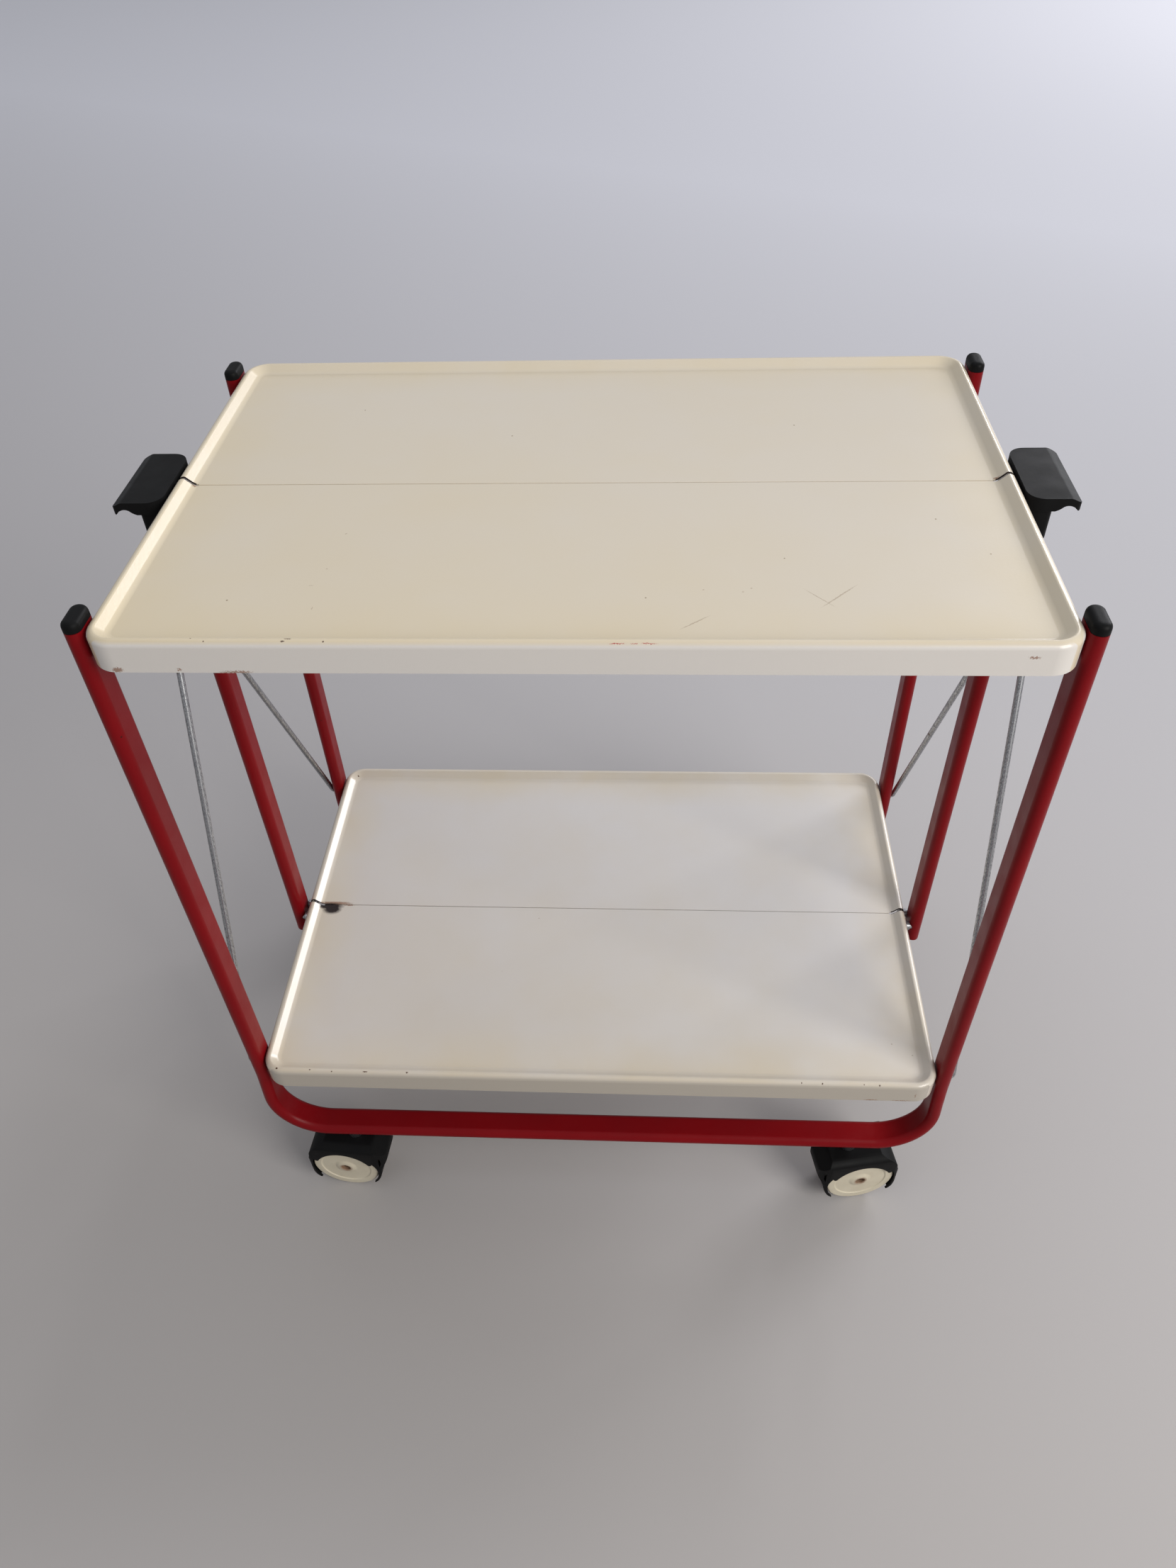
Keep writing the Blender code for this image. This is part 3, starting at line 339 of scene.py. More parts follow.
def startMaterial(name, finish):
    material = bpy.data.materials.new(name)
    material.use_nodes = True
    tree = material.node_tree
    shader = tree.nodes["Principled BSDF"]
    for socket, value in finish.items():
        shader.inputs[socket].default_value = value
    where = addNode(tree, "ShaderNodeTexCoord").outputs["Object"]
    return material, tree, shader, where


def plugIn(tree, shader, **sockets):
    names = {"colour": "Base Color", "rough": "Roughness", "normal": "Normal"}
    for name, socket in sockets.items():
        tree.links.new(socket, shader.inputs[names[name]])


def markMask(tree, where, marks, waver):  # each mark: its place, half sizes and any slant in degrees
    noise = noiseOf(tree, where, 900.0, 2.0, output="Color")
    shift = vectorOf(tree, "MULTIPLY_ADD", noise, (waver,) * 3, (-waver / 2,) * 3)
    shaken = vectorOf(tree, "ADD", where, shift)
    total = None
    for mark in marks:
        place, size, slant = mark[:3], mark[3:6], mark[6:]
        flat = vectorOf(tree, "SUBTRACT", shaken, place)
        if slant:
            settings = {"rotation_type": "Z_AXIS", "Angle": math.radians(-slant[0])}
            flat = addNode(tree, "ShaderNodeVectorRotate", settings, {"Vector": flat}).outputs[0]
        spread = vectorOf(tree, "DIVIDE", flat, size)
        spot = remap(tree, vectorOf(tree, "LENGTH", spread, output="Value"), 1.0, 0.55)
        total = spot if total is None else mathOf(tree, "MAXIMUM", spot, total)
    return total


# Stoved enamel on pressed steel: an even, slightly wavy coat that yellows and chips at its rims
trayEnamel = {
    # two of these colours are painted shade: the dark of the seam's gap and the grey towards the lower
    # tray's left
    "warm": "#CBBC9C", "slotPaintedShade": "#2A211B", "rimTan": "#D8B98E", "paintedLeftShade": "#B0ABAA",
    "speck": "#8A7A63", "speckSize": 0.014, "speckSpacing": 0.045, "mottleSize": 0.09,
    "peelSize": 0.0022,
    "halfLength": 0.3, "halfDepth": 0.2, "slotHalf": 0.0017, "slotReach": 0.0125,
}
markKinds = {  # colour, strength and how far the outline wavers
    "scratches": ("#8F7C66", 0.5, 0.0012), "scuffs": ("#A8504A", 1.0, 0.002),
    "rust": ("#7A4A26", 0.75, 0.004), "chips": ("#523A2C", 1.0, 0.0012),
    # the tear is real damage, and its near-black is painted shade where the torn seam opens into a gap
    "tornGapShade": ("#1C0C08", 1.0, 0.003),
}
upperMarks = {
    "chips": [
        (-0.1734, -0.1974, 0.675, 0.0016, 0.0007, 0.002),
        (-0.1705, -0.1954, 0.675, 0.0026, 0.0005, 0.002),
        (-0.23, -0.1946, 0.675, 0.0007, 0.0012, 0.002),
        (-0.2214, -0.1975, 0.675, 0.0006, 0.0006, 0.002),
        (-0.1486, -0.1975, 0.675, 0.0008, 0.0008, 0.002),
        (-0.2929, -0.1505, 0.672, 0.0009, 0.0009, 0.001),
        (0.2965, 0.023, 0.673, 0.0006, 0.004, 0.002),
    ],
    "scratches": [
        (-0.1623, -0.0678, 0.669, 0.0008, 0.0008, 0.001),
        (-0.1662, -0.111, 0.669, 0.0008, 0.0008, 0.001),
        (-0.166, -0.1554, 0.669, 0.0005, 0.002, 0.001),
        (-0.1725, -0.1302, 0.669, 0.002, 0.0004, 0.001),
        (0.1625, -0.142, 0.669, 0.0194, 0.0006, 0.001, 45),
        (0.15, -0.144, 0.669, 0.015, 0.0004, 0.001, -48),
        (0.0729, -0.1699, 0.669, 0.013, 0.0006, 0.001, 38),
        (0.0787, -0.1352, 0.669, 0.0008, 0.0007, 0.001),
        (0.1088, -0.1336, 0.669, 0.0008, 0.0007, 0.001),
        (0.1033, -0.1375, 0.669, 0.0008, 0.0007, 0.001),
    ],
    "rust": [
        (-0.2796, -0.2, 0.6545, 0.0042, 0.003, 0.0022),
        (-0.2409, -0.2, 0.6548, 0.0018, 0.002, 0.001),
        (-0.206, -0.2, 0.6532, 0.012, 0.003, 0.0012),
        (-0.2885, -0.0025, 0.669, 0.003, 0.001, 0.003),
        (0.2885, 0.0025, 0.669, 0.003, 0.001, 0.003),
        (0.268, -0.2, 0.666, 0.004, 0.003, 0.001),
    ],
    "scuffs": [
        (0.0265, -0.1982, 0.6744, 0.006, 0.0004, 0.001),
        (0.0365, -0.1982, 0.6744, 0.0024, 0.0004, 0.001),
        (0.0455, -0.1982, 0.6744, 0.0058, 0.0003, 0.001),
    ],
}
lowerMarks = {
    "chips": [
        (-0.2855, -0.1957, 0.2, 0.0013, 0.0011, 0.002),
        (-0.2552, -0.1963, 0.2, 0.0008, 0.0008, 0.002),
        (-0.2352, -0.1975, 0.2, 0.0009, 0.0008, 0.002),
        (-0.205, -0.197, 0.2, 0.003, 0.0006, 0.002),
        (-0.1672, -0.1969, 0.2, 0.0014, 0.0008, 0.002),
        (0.181, -0.1978, 0.2, 0.0007, 0.0008, 0.002),
        (0.199, -0.198, 0.2, 0.0009, 0.0009, 0.002),
        (0.235, -0.1978, 0.2, 0.0006, 0.0006, 0.002),
        (0.2482, -0.1984, 0.2, 0.0013, 0.001, 0.002),
        (-0.2871, 0.1882, 0.198, 0.0012, 0.0012, 0.003),
    ],
    "scratches": [
        (0.266, -0.1525, 0.194, 0.0009, 0.0009, 0.001),
        (0.2824, -0.1638, 0.194, 0.0009, 0.0009, 0.001),
    ],
    "rust": [
        (0.243, -0.2, 0.1785, 0.007, 0.003, 0.0008),
        (0.2805, -0.1985, 0.1865, 0.0006, 0.003, 0.0042),
        (0.27, -0.2, 0.1782, 0.01, 0.003, 0.0007),
        (-0.275, 0.0018, 0.194, 0.02, 0.0024, 0.003),
        (-0.26, -0.0004, 0.194, 0.0065, 0.0012, 0.003),
    ],
    # a torn seam: painted shade in the gap where the sheet has opened
    "tornGapShade": [
        (-0.28, -0.0022, 0.194, 0.0165, 0.0052, 0.004),
        (-0.2765, -0.0062, 0.194, 0.0108, 0.0072, 0.004),
    ],
}
trayFinish = {
    "upper": {
        "rim": 0.675, "marks": upperMarks, "flat": "#CBC2B3", "skirt": "#CFCAC4", "aged": 0.5,
        "paintedLeftShade": 0.0,
    },
    # the lower tray's flat is cooler than the upper one's, partly a bluish tint standing in for the
    # side light it gets; its skirt colour and its grey towards the left are painted shade
    "lower": {
        "rim": 0.200, "marks": lowerMarks, "flat": "#D2CFCD", "skirt": "#ADA599", "aged": 0.4,
        "paintedLeftShade": 0.42,
    },
}


def makeTrayEnamel(level):
    look, own = trayEnamel, trayFinish[level]
    finish = {"Roughness": 0.36, "IOR": 1.5, "Coat Weight": 0.0}
    material, tree, shader, where = startMaterial("ivoryEnamel" + level.title(), finish)
    x, y, z = addNode(tree, "ShaderNodeSeparateXYZ", {}, {"Vector": where}).outputs
    mottle = noiseOf(tree, where, 1 / look["mottleSize"], 3.0, 0.6)
    # the coat has gone yellow towards the left and the front edge
    slant = vectorOf(tree, "DOT_PRODUCT", where, (-1.0, -1.3, 0.0), output="Value")
    aged = remap(tree, slant, -0.15, 0.55, 0.0, own["aged"])
    patchy = mathOf(tree, "MULTIPLY_ADD", mottle, 0.5, -0.2)
    agedMask = mathOf(tree, "ADD", aged, patchy, use_clamp=True)
    colour = colourOver(tree, own["flat"], look["warm"], agedMask)
    # painted shade: the tray that stands under the other one is greyed towards the left, where less
    # light falls on it
    colour = colourOver(tree, colour, look["paintedLeftShade"], remap(tree, x, 0.25, -0.3, 0.0, own["paintedLeftShade"]))
    # yellowed along the slopes and tan on the rims, by how near the skirt is
    edgeX = mathOf(tree, "SUBTRACT", mathOf(tree, "ABSOLUTE", x), look["halfLength"])
    outY = mathOf(tree, "ABSOLUTE", y)
    edge = mathOf(tree, "MAXIMUM", edgeX, mathOf(tree, "SUBTRACT", outY, look["halfDepth"]))
    haze = times(tree, remap(tree, edge, -0.055, -0.014, 0.0, 0.7), mottle)
    colour = colourOver(tree, colour, look["warm"], haze)
    tan = times(tree, remap(tree, edge, -0.0045, -0.0025, 0.0, 0.14), mottle)
    colour = colourOver(tree, colour, look["rimTan"], tan)
    # the skirts get their own colour: on the upper tray a cleaner, greyer enamel than the top, on the
    # lower tray a darker grey that is painted shade
    belowRim = remap(tree, z, own["rim"] - 0.0004, own["rim"] - 0.0024)
    onSkirt = times(tree, belowRim, mathOf(tree, "GREATER_THAN", edge, -0.004))
    colour = colourOver(tree, colour, own["skirt"], onSkirt)
    # a few dark specks where dust was caught under the coat, and painted shade on the cut faces at the
    # seam's open ends, where the gap between the halves is dark
    specks = dotsOf(tree, where, 1 / look["speckSpacing"], look["speckSize"])
    colour = colourOver(tree, colour, look["speck"], specks)
    # painted shade: the cut faces at the seam's ends are coloured as dark as the gap between the
    # halves
    inSlot = mathOf(tree, "LESS_THAN", outY, look["slotHalf"])
    atEnd = mathOf(tree, "GREATER_THAN", edgeX, -look["slotReach"])
    colour = colourOver(tree, colour, look["slotPaintedShade"], times(tree, inSlot, atEnd))
    for kind, (code, strength, waver) in markKinds.items():
        if kind in own["marks"]:
            mask = times(tree, markMask(tree, where, own["marks"][kind], waver), strength)
            colour = colourOver(tree, colour, code, mask)
    rough = roughOver(tree, noiseOf(tree, where, 16.0, 3.0), 0.215, 0.255)
    wave = bumpOf(tree, noiseOf(tree, where, 14.0, 1.0), 0.2, 0.0003)
    peel = bumpOf(tree, noiseOf(tree, where, 1 / look["peelSize"], 1.0), 0.08, 0.0003, Normal=wave)
    plugIn(tree, shader, colour=colour, rough=rough, normal=peel)
    return material


# Stoved enamel on drawn steel tube: deep red, smooth, with soft long highlights
tubeEnamel = {"red": "#7E080F", "dull": "#6A0910", "nick": "#3A1512", "peelSize": 0.0016}


def makeTubeEnamel():
    look = tubeEnamel
    finish = {"Roughness": 0.3, "IOR": 1.5, "Specular IOR Level": 0.12}
    material, tree, shader, where = startMaterial("redTubeEnamel", finish)
    colour = colourOver(tree, look["red"], look["dull"], noiseOf(tree, where, 16.0, 3.0))
    colour = colourOver(tree, colour, look["nick"], dotsOf(tree, where, 26.0, 0.018))
    rough = roughOver(tree, noiseOf(tree, where, 40.0, 3.0), 0.28, 0.42)
    peel = bumpOf(tree, noiseOf(tree, where, 1 / look["peelSize"], 1.0), 0.12, 0.0002)
    plugIn(tree, shader, colour=colour, rough=rough, normal=peel)
    return material


# Moulded black plastic: a fine spark-eroded grain that scatters the light, with clouds of dust
blackPlastic = {"black": "#0D0D0E", "dusty": "#141414", "grainSize": 0.0007}


def makeBlackPlastic(name, roughness):
    look = blackPlastic
    finish = {"Roughness": roughness, "IOR": 1.47, "Specular IOR Level": 0.09}
    material, tree, shader, where = startMaterial(name, finish)
    dust = noiseOf(tree, where, 38.0, 5.0, 0.65)
    colour = colourOver(tree, look["black"], look["dusty"], dust)
    rough = roughOver(tree, dust, roughness - 0.07, roughness + 0.08)
    grain = bumpOf(tree, noiseOf(tree, where, 1 / look["grainSize"], 2.0), 0.25, 0.00012)
    plugIn(tree, shader, colour=colour, rough=rough, normal=grain)
    return material


# Moulded cream plastic of the wheels: dulled by wear, with rust washed out round the axle
wheelPlastic = {"cream": "#D0C8B3", "worn": "#BBB19B", "rust": "#6E4220", "grime": "#7A7060"}


def makeWheelPlastic():
    look = wheelPlastic
    material, tree, shader, where = startMaterial("creamWheelPlastic", {"Roughness": 0.45, "IOR": 1.5})
    cloud = noiseOf(tree, where, 60.0, 4.0, 0.6)
    colour = colourOver(tree, look["cream"], look["worn"], cloud)
    fromAxle = addNode(tree, "ShaderNodeAttribute", {"attribute_name": "fromAxle"}).outputs["Fac"]
    uneven = mathOf(tree, "ADD", fromAxle, mathOf(tree, "MULTIPLY_ADD", cloud, 0.004, -0.002))
    colour = colourOver(tree, colour, look["rust"], remap(tree, uneven, 0.0072, 0.0045, 0.0, 0.8))
    colour = colourOver(tree, colour, look["grime"], remap(tree, uneven, 0.0312, 0.0326, 0.0, 0.6))
    plugIn(tree, shader, colour=colour, normal=bumpOf(tree, cloud, 0.15, 0.0002))
    return material


# Zinc on drawn steel wire: a grey metal with streaks that run along it
zincWire = {"bright": "#C4C5C6", "dull": "#85868A", "spot": "#6B5544", "streakWidth": 0.0006}


def makeZinc(name, stretch):
    look = zincWire
    material, tree, shader, where = startMaterial(name, {"Metallic": 1.0, "Roughness": 0.3})
    along = addNode(tree, "ShaderNodeMapping", {"Scale": stretch}, {"Vector": where}).outputs["Vector"]
    streak = noiseOf(tree, along, 1 / look["streakWidth"], 3.0)
    contrast = remap(tree, streak, 0.38, 0.62)
    colour = colourOver(tree, look["bright"], look["dull"], contrast)
    spot = remap(tree, noiseOf(tree, where, 120.0, 3.0), 0.66, 0.72, 0.0, 0.7)
    colour = colourOver(tree, colour, look["spot"], spot)
    rough = remap(tree, contrast, 0.0, 1.0, 0.24, 0.42)
    plugIn(tree, shader, colour=colour, rough=rough, normal=bumpOf(tree, streak, 0.2, 0.0001))
    return material


# Bare cut steel that has rusted: brown and grey, dull
rustySteel = {"brown": "#4A3322", "grey": "#332C27"}


def makeRustySteel():
    look = rustySteel
    finish = {"Metallic": 0.35, "Roughness": 0.7}
    material, tree, shader, where = startMaterial("rustedAxleSteel", finish)
    cloud = noiseOf(tree, where, 420.0, 4.0)
    colour = colourOver(tree, look["brown"], look["grey"], cloud)
    plugIn(tree, shader, colour=colour, normal=bumpOf(tree, cloud, 0.5, 0.0003))
    return material


trayEnamels = {level: makeTrayEnamel(level) for level in trayFinish}
redEnamel = makeTubeEnamel()
handlePlastic = makeBlackPlastic("blackHandlePlastic", 0.48)
hoodPlastic = makeBlackPlastic("blackHoodPlastic", 0.5)
creamPlastic = makeWheelPlastic()
rodZinc = makeZinc("zincRodWire", (1.0, 1.0, 0.03))
rivetZinc = makeZinc("zincRivetSteel", (1.0, 0.3, 0.3))
axleSteel = makeRustySteel()
print("materials ready")

# Trays: each is two halves of pressed sheet, cut along the middle

trayHalf = {
    "length": 0.600, "depth": 0.400, "skirt": 0.0225, "corner": 0.020, "rimWidth": 0.0053,
    "slope": 0.0067, "recess": 0.006, "outerRound": 0.0045, "innerRound": 0.0016,
    "footRound": 0.0024, "sheet": 0.0012, "slot": 0.0026, "seam": 0.0008, "pivotDrop": 0.015,
    "legPivot": 0.178, "centrePivot": 0.008, "pinHole": 0.0033, "hookHole": 0.00305,
}


def inFromSkirt(point):  # how far a point lies inside the skirt, seen from above
    look = trayHalf
    x = abs(point.x) - look["length"] / 2 + look["corner"]
    y = abs(point.y) - look["depth"] / 2 + look["corner"]
    outside = math.hypot(max(x, 0), max(y, 0)) + min(max(x, y), 0)
    return look["corner"] - outside


def bevelLoop(inset, height, width, segments):
    def onLoop(point):
        return abs(inFromSkirt(point) - inset) < 0.0002 and abs(point.z - height) < 0.0001
    pickParts("EDGE", lambda a, b: onLoop(a) and onLoop(b))
    bpy.ops.mesh.bevel(offset=width, segments=segments, affect="EDGES", clamp_overlap=True)


def makeTrayHalf(legHole):
    look = trayHalf
    clearSelection()
    bpy.ops.mesh.primitive_cube_add(
        size=1, location=(0, 0, -look["skirt"] / 2),
        scale=(look["length"], look["depth"], look["skirt"]),
    )
    piece = bpy.context.object
    applyPlace(piece)
    pickParts("FACE", lambda n, c: n.z < -0.9)
    bpy.ops.mesh.delete(type="ONLY_FACE")
    pickParts("EDGE", lambda a, b: abs(a.z - b.z) > 0.001)
    bpy.ops.mesh.bevel(offset=look["corner"], segments=12, affect="EDGES", clamp_overlap=False)
    pickParts("FACE", lambda n, c: n.z > 0.9)
    bpy.ops.mesh.inset(thickness=look["rimWidth"])
    bpy.ops.mesh.inset(thickness=look["slope"])
    bpy.ops.transform.translate(value=(0, 0, -look["recess"]))
    bevelLoop(0, 0, look["outerRound"], 7)
    bevelLoop(look["rimWidth"] + look["slope"], -look["recess"], look["footRound"], 6)
    bevelLoop(look["rimWidth"], 0, look["innerRound"], 4)
    # the half's own side of the seam, with its lower corners rounded about the pivot
    selectAll()
    bpy.ops.mesh.bisect(plane_co=(0, -look["slot"] / 2, 0), plane_no=(0, 1, 0), clear_outer=True)
    radius = look["centrePivot"] - look["slot"] / 2
    centre = Vector((0, -look["centrePivot"], -look["pivotDrop"]))
    for degrees in range(7, 84, 11):
        turn = math.radians(degrees)
        normal = Vector((0, math.cos(turn), -math.sin(turn)))
        selectAll()
        bpy.ops.mesh.bisect(plane_co=centre + normal * radius, plane_no=normal, clear_outer=True)
    seamEdge = -look["slot"] / 2
    pickParts(
        "EDGE",
        lambda a, b: max(abs(p.z + look["recess"]) + abs(p.y - seamEdge) for p in (a, b)) < 0.00002,
    )
    lip, turned = (look["slot"] - look["seam"]) / 2, 0.0002
    down = look["recess"] - look["pivotDrop"]
    for step in ((0, lip - turned, 0), (0, turned, -turned), (0, 0, down + turned)):
        bpy.ops.mesh.extrude_edges_move(TRANSFORM_OT_translate={"value": step})
    cleanMesh()
    top = max(piece.data.polygons, key=lambda face: face.area)
    if top.normal.z < 0:
        setMode("EDIT")
        bpy.ops.mesh.flip_normals()
        setMode("OBJECT")
    addModifier(
        piece, "SOLIDIFY", thickness=look["sheet"], offset=-1, use_even_offset=True,
        use_quality_normals=True,
    )
    breakEdges(piece)
    out, reach, z = look["length"] / 2, 0.003, -look["pivotDrop"]
    for middle in (-out, out):
        for y, radius in ((look["legPivot"], legHole), (look["centrePivot"], look["pinHole"])):
            drill(piece, radius, (middle - reach, -y, z), (middle + reach, -y, z))
    return piece


for level, hole in (("upper", trayHalf["pinHole"]), ("lower", trayHalf["hookHole"])):
    half = finishShape(makeTrayHalf(hole), level + "Tray", trayEnamels[level], 40)
    height = trayFinish[level]["rim"]
    for side, turn in (("front", 0.0), ("rear", math.pi)):
        piece = copyPiece(half, f"{level}{side.title()}Tray", turn, (0, 0, height))
        standFor(piece, f"{level}_{side}_tray")
    drop(half)
print("trays pressed")

# Frames, leg caps and uprights: flat-oval tube

ovalTube = {"width": 0.025, "thickness": 0.012, "wall": 0.0015, "sides": 32}


def addOvalRing(location, filled=False):  # the tube's section, lying flat: long along Y
    look = ovalTube
    clearSelection()
    bpy.ops.mesh.primitive_circle_add(
        vertices=look["sides"], radius=look["thickness"] / 2, rotation=(0, 0, math.pi / look["sides"]),
        location=location, fill_type="NGON" if filled else "NOTHING",
    )
    ring = bpy.context.object
    applyPlace(ring)
    middle = location[1]
    stretch = (look["width"] - look["thickness"]) / 2
    for way in (-1, 1):
        pickParts("VERT", lambda p: (p.y - middle) * way > 0)
        bpy.ops.transform.translate(value=(0, way * stretch, 0))
    selectAll()
    return ring


uFrame = {
    "legX": 0.307, "legY": 0.178, "top": 0.6735, "barZ": 0.0905, "bend": 0.049,
    "crankZ": 0.172, "crankSoft": 0.008, "splay": 0.007,
    "pivotZ": 0.660, "hookZ": 0.185, "stemX": 0.238, "stemHole": 0.0043,
}


def makeFrame():
    look = uFrame
    x, y = look["legX"], look["legY"]
    piece = addOvalRing((-x, -y, look["top"]))
    soft = look["crankSoft"]
    steps = [look["crankZ"] + soft * (2 - i) / 2 for i in range(5)]
    for start, stop in zip([look["top"]] + steps, steps):
        pushOut((0, 0, stop - start))
    low, bar = steps[-1], look["barZ"]
    sweepAlong([(-x, -y, low), (-x, -y, bar), (x, -y, bar), (x, -y, low)], look["bend"], 20)
    for start, stop in zip(steps[::-1], steps[-2::-1] + [look["top"]]):
        pushOut((0, 0, stop - start))
    cleanMesh()
    slope = look["splay"] / (look["crankZ"] - look["barZ"])
    for vert in piece.data.vertices:
        below = look["crankZ"] - vert.co.z
        if below > -soft:  # the legs lean outwards below a soft crank
            vert.co.y -= slope * (below if below > soft else (below + soft) ** 2 / (4 * soft))
    addModifier(piece, "SOLIDIFY", thickness=ovalTube["wall"], offset=-1, use_even_offset=True)
    inner = x - ovalTube["thickness"] / 2 - 0.001
    outer = x + ovalTube["thickness"] / 2 + 0.001
    for end in (-1, 1):
        pivot, hook = look["pivotZ"], look["hookZ"]
        drill(piece, trayHalf["pinHole"], (end * inner, -y, pivot), (end * x, -y, pivot))
        drill(piece, trayHalf["hookHole"], (end * inner, -y, hook), (end * outer, -y, hook))
        stem = end * look["stemX"]
        out = -y - look["splay"]
        drill(piece, look["stemHole"], (stem, out, look["barZ"] - 0.008), (stem, out, look["barZ"]))
    return finishShape(piece, "frontFrame", redEnamel, 40)


frontFrame = makeFrame()
standFor(frontFrame, "front_frame_tube")
standFor(copyPiece(frontFrame, "rearFrame", math.pi), "rear_frame_tube")

legCap = {"seat": 0.0003, "height": 0.0072, "dome": 0.0050, "plug": 0.0090, "plugInset": 0.0018}


def makeLegCap():
    look = legCap
    piece = addOvalRing((0, 0, 0), True)
    pushOut((0, 0, look["height"]))
    cleanMesh()
    pickParts("EDGE", lambda a, b: min(a.z, b.z) > look["height"] - 0.0001)
    bpy.ops.mesh.bevel(offset=look["dome"], segments=8, profile=0.6, affect="EDGES")
    pickParts("FACE", lambda n, c: n.z < -0.9)
    bpy.ops.mesh.inset(thickness=look["plugInset"])
    pushOut((0, 0, -look["plug"]))
    cleanMesh()
    return finishShape(piece, "legCap", handlePlastic, 35)


cap = makeLegCap()
capHeight = uFrame["top"] + legCap["seat"]
for name, node, way, hand in corners:
    place = (hand * uFrame["legX"], way * uFrame["legY"], capHeight)
    standFor(copyPiece(cap, name + "LegCap", 0.0, place), node + "_leg_cap")
drop(cap)

upright = {
    "x": 0.3115, "foot": 0.167, "top": 0.669, "pivotY": 0.008, "screwZ": 0.625, "screwHole": 0.0023,
}


def makeUpright():
    look = upright
    piece = addOvalRing((look["x"], 0, look["foot"]))
    pushOut((0, 0, look["top"] - look["foot"]))
    cleanMesh()
    addModifier(piece, "SOLIDIFY", thickness=ovalTube["wall"], offset=-1, use_even_offset=True)
    breakEdges(piece)
    inner = look["x"] - ovalTube["thickness"] / 2 - 0.001
    outer = look["x"] + ovalTube["thickness"] / 2 + 0.001
    for z in (uFrame["pivotZ"], uFrame["hookZ"]):
        for y in (-look["pivotY"], look["pivotY"]):
            drill(piece, trayHalf["pinHole"], (inner, y, z), (look["x"], y, z))
    z = look["screwZ"]
    drill(piece, look["screwHole"], (look["x"], 0, z), (outer, 0, z))
    return finishShape(piece, "rightUpright", redEnamel, 40)


standPair(makeUpright(), "upright")
print("tubes bent")

# Handles

handle = {
    "inner": 0.3013, "ridge": 0.3305, "reach": 0.3375, "top": 0.675, "lipDrop": 0.0036,
    "lipDepth": 0.0094, "lipRound": 0.0014, "groove": 0.0052, "gusset": 0.0095, "length": 0.073,
    "postOuter": 0.320, "bottom": 0.605, "shoulder": 0.643, "postHalf": 0.034, "footHalf": 0.0175,
    "corner": 0.012, "tipCorner": 0.004, "edge": 0.0009, "mouthHalf": 0.0131, "ceiling": 0.6693,
}


def boreForUpright(piece, foot, tall):  # with play round the tube
    bore = addOvalRing((upright["x"], 0, foot), True)
    pushOut((0, 0, tall))
    cleanMesh()
    addModifier(bore, "DISPLACE", strength=0.0003, mid_level=0.0)
    combine(piece, bore)


def makeHandle():
    look = handle
    top, inner, ridge, reach = look["top"], look["inner"], look["ridge"], look["reach"]
    outer, tip, low = look["postOuter"], reach - look["lipRound"], top - look["lipDepth"]
    brow, groove, gusset = top - look["lipDrop"], top - look["groove"], top - look["gusset"]
    side = [(inner, top), (ridge - 0.0012, top), (ridge, top - 0.0002)]
    side += [(ridge + 0.0010, top - 0.0006), (reach - 0.0004, brow + 0.0003), (reach, brow - 0.0006)]
    side += arcPoints((tip, low + look["lipRound"]), look["lipRound"], 0, -135, 8)
    under = [(ridge + 0.0022, low + 0.0028), (ridge - 0.0010, groove)]
    under += [(ridge - 0.0045, groove - 0.0004), (outer + 0.003, gusset + 0.0012), (outer, gusset)]
    side += cutCorners(under, 2)
    side += [(inner, gusset)]
    piece = outlinePiece(side, look["length"])
    half = look["length"] / 2
    plan = roundedPlan(half, inner, reach, look["corner"], look["tipCorner"])
    mask = outlinePiece(plan, 0.02, True)
    mask.location.z = top - 0.006
    combine(piece, mask, "INTERSECT")
    softenEdges(piece, look["edge"], 3, 38)
    # the post: drawn in plan, pulled down, and narrowed from its shoulder to its foot
    half = look["postHalf"]
    corner = look["corner"] * 0.93
    plan = roundedPlan(half, inner, outer, corner, look["tipCorner"])
    post = outlinePiece(plan, 0.001, True)
    post.location.z = top - 0.0068
    applyPlace(post)
    pickParts("FACE", lambda n, c: n.z < -0.9)
    for level, spread in ((look["shoulder"], 1.0), (look["bottom"], look["footHalf"] / half)):
        setMode("OBJECT")
        low = min(v.co.z for v in post.data.vertices)
        setMode("EDIT")
        pushOut((0, 0, level - low))
        bpy.ops.transform.resize(value=(1, spread, 1))
    cleanMesh()
    softenEdges(post, look["edge"], 3, 50)
    combine(piece, post, "UNION")
    deep = upright["x"] - inner + 0.004
    tall = look["ceiling"] - look["bottom"] + 0.002
    boreForUpright(piece, look["bottom"] - 0.002, tall)
    place = (upright["x"] - deep / 2, 0, look["ceiling"] - tall / 2)
    cutBlock(piece, (deep, 2 * look["mouthHalf"], tall), place)
    z = upright["screwZ"]
    drill(piece, upright["screwHole"], (upright["x"], 0, z), (outer + 0.002, 0, z))
    return finishShape(piece, "rightHandle", handlePlastic, 35)


standPair(makeHandle(), "handle")
handleScrew = {
    "shank": 0.002, "head": 0.0042, "rise": 0.002, "seat": 0.0003, "slot": 0.0008,
    "slotLong": 0.0046,
}


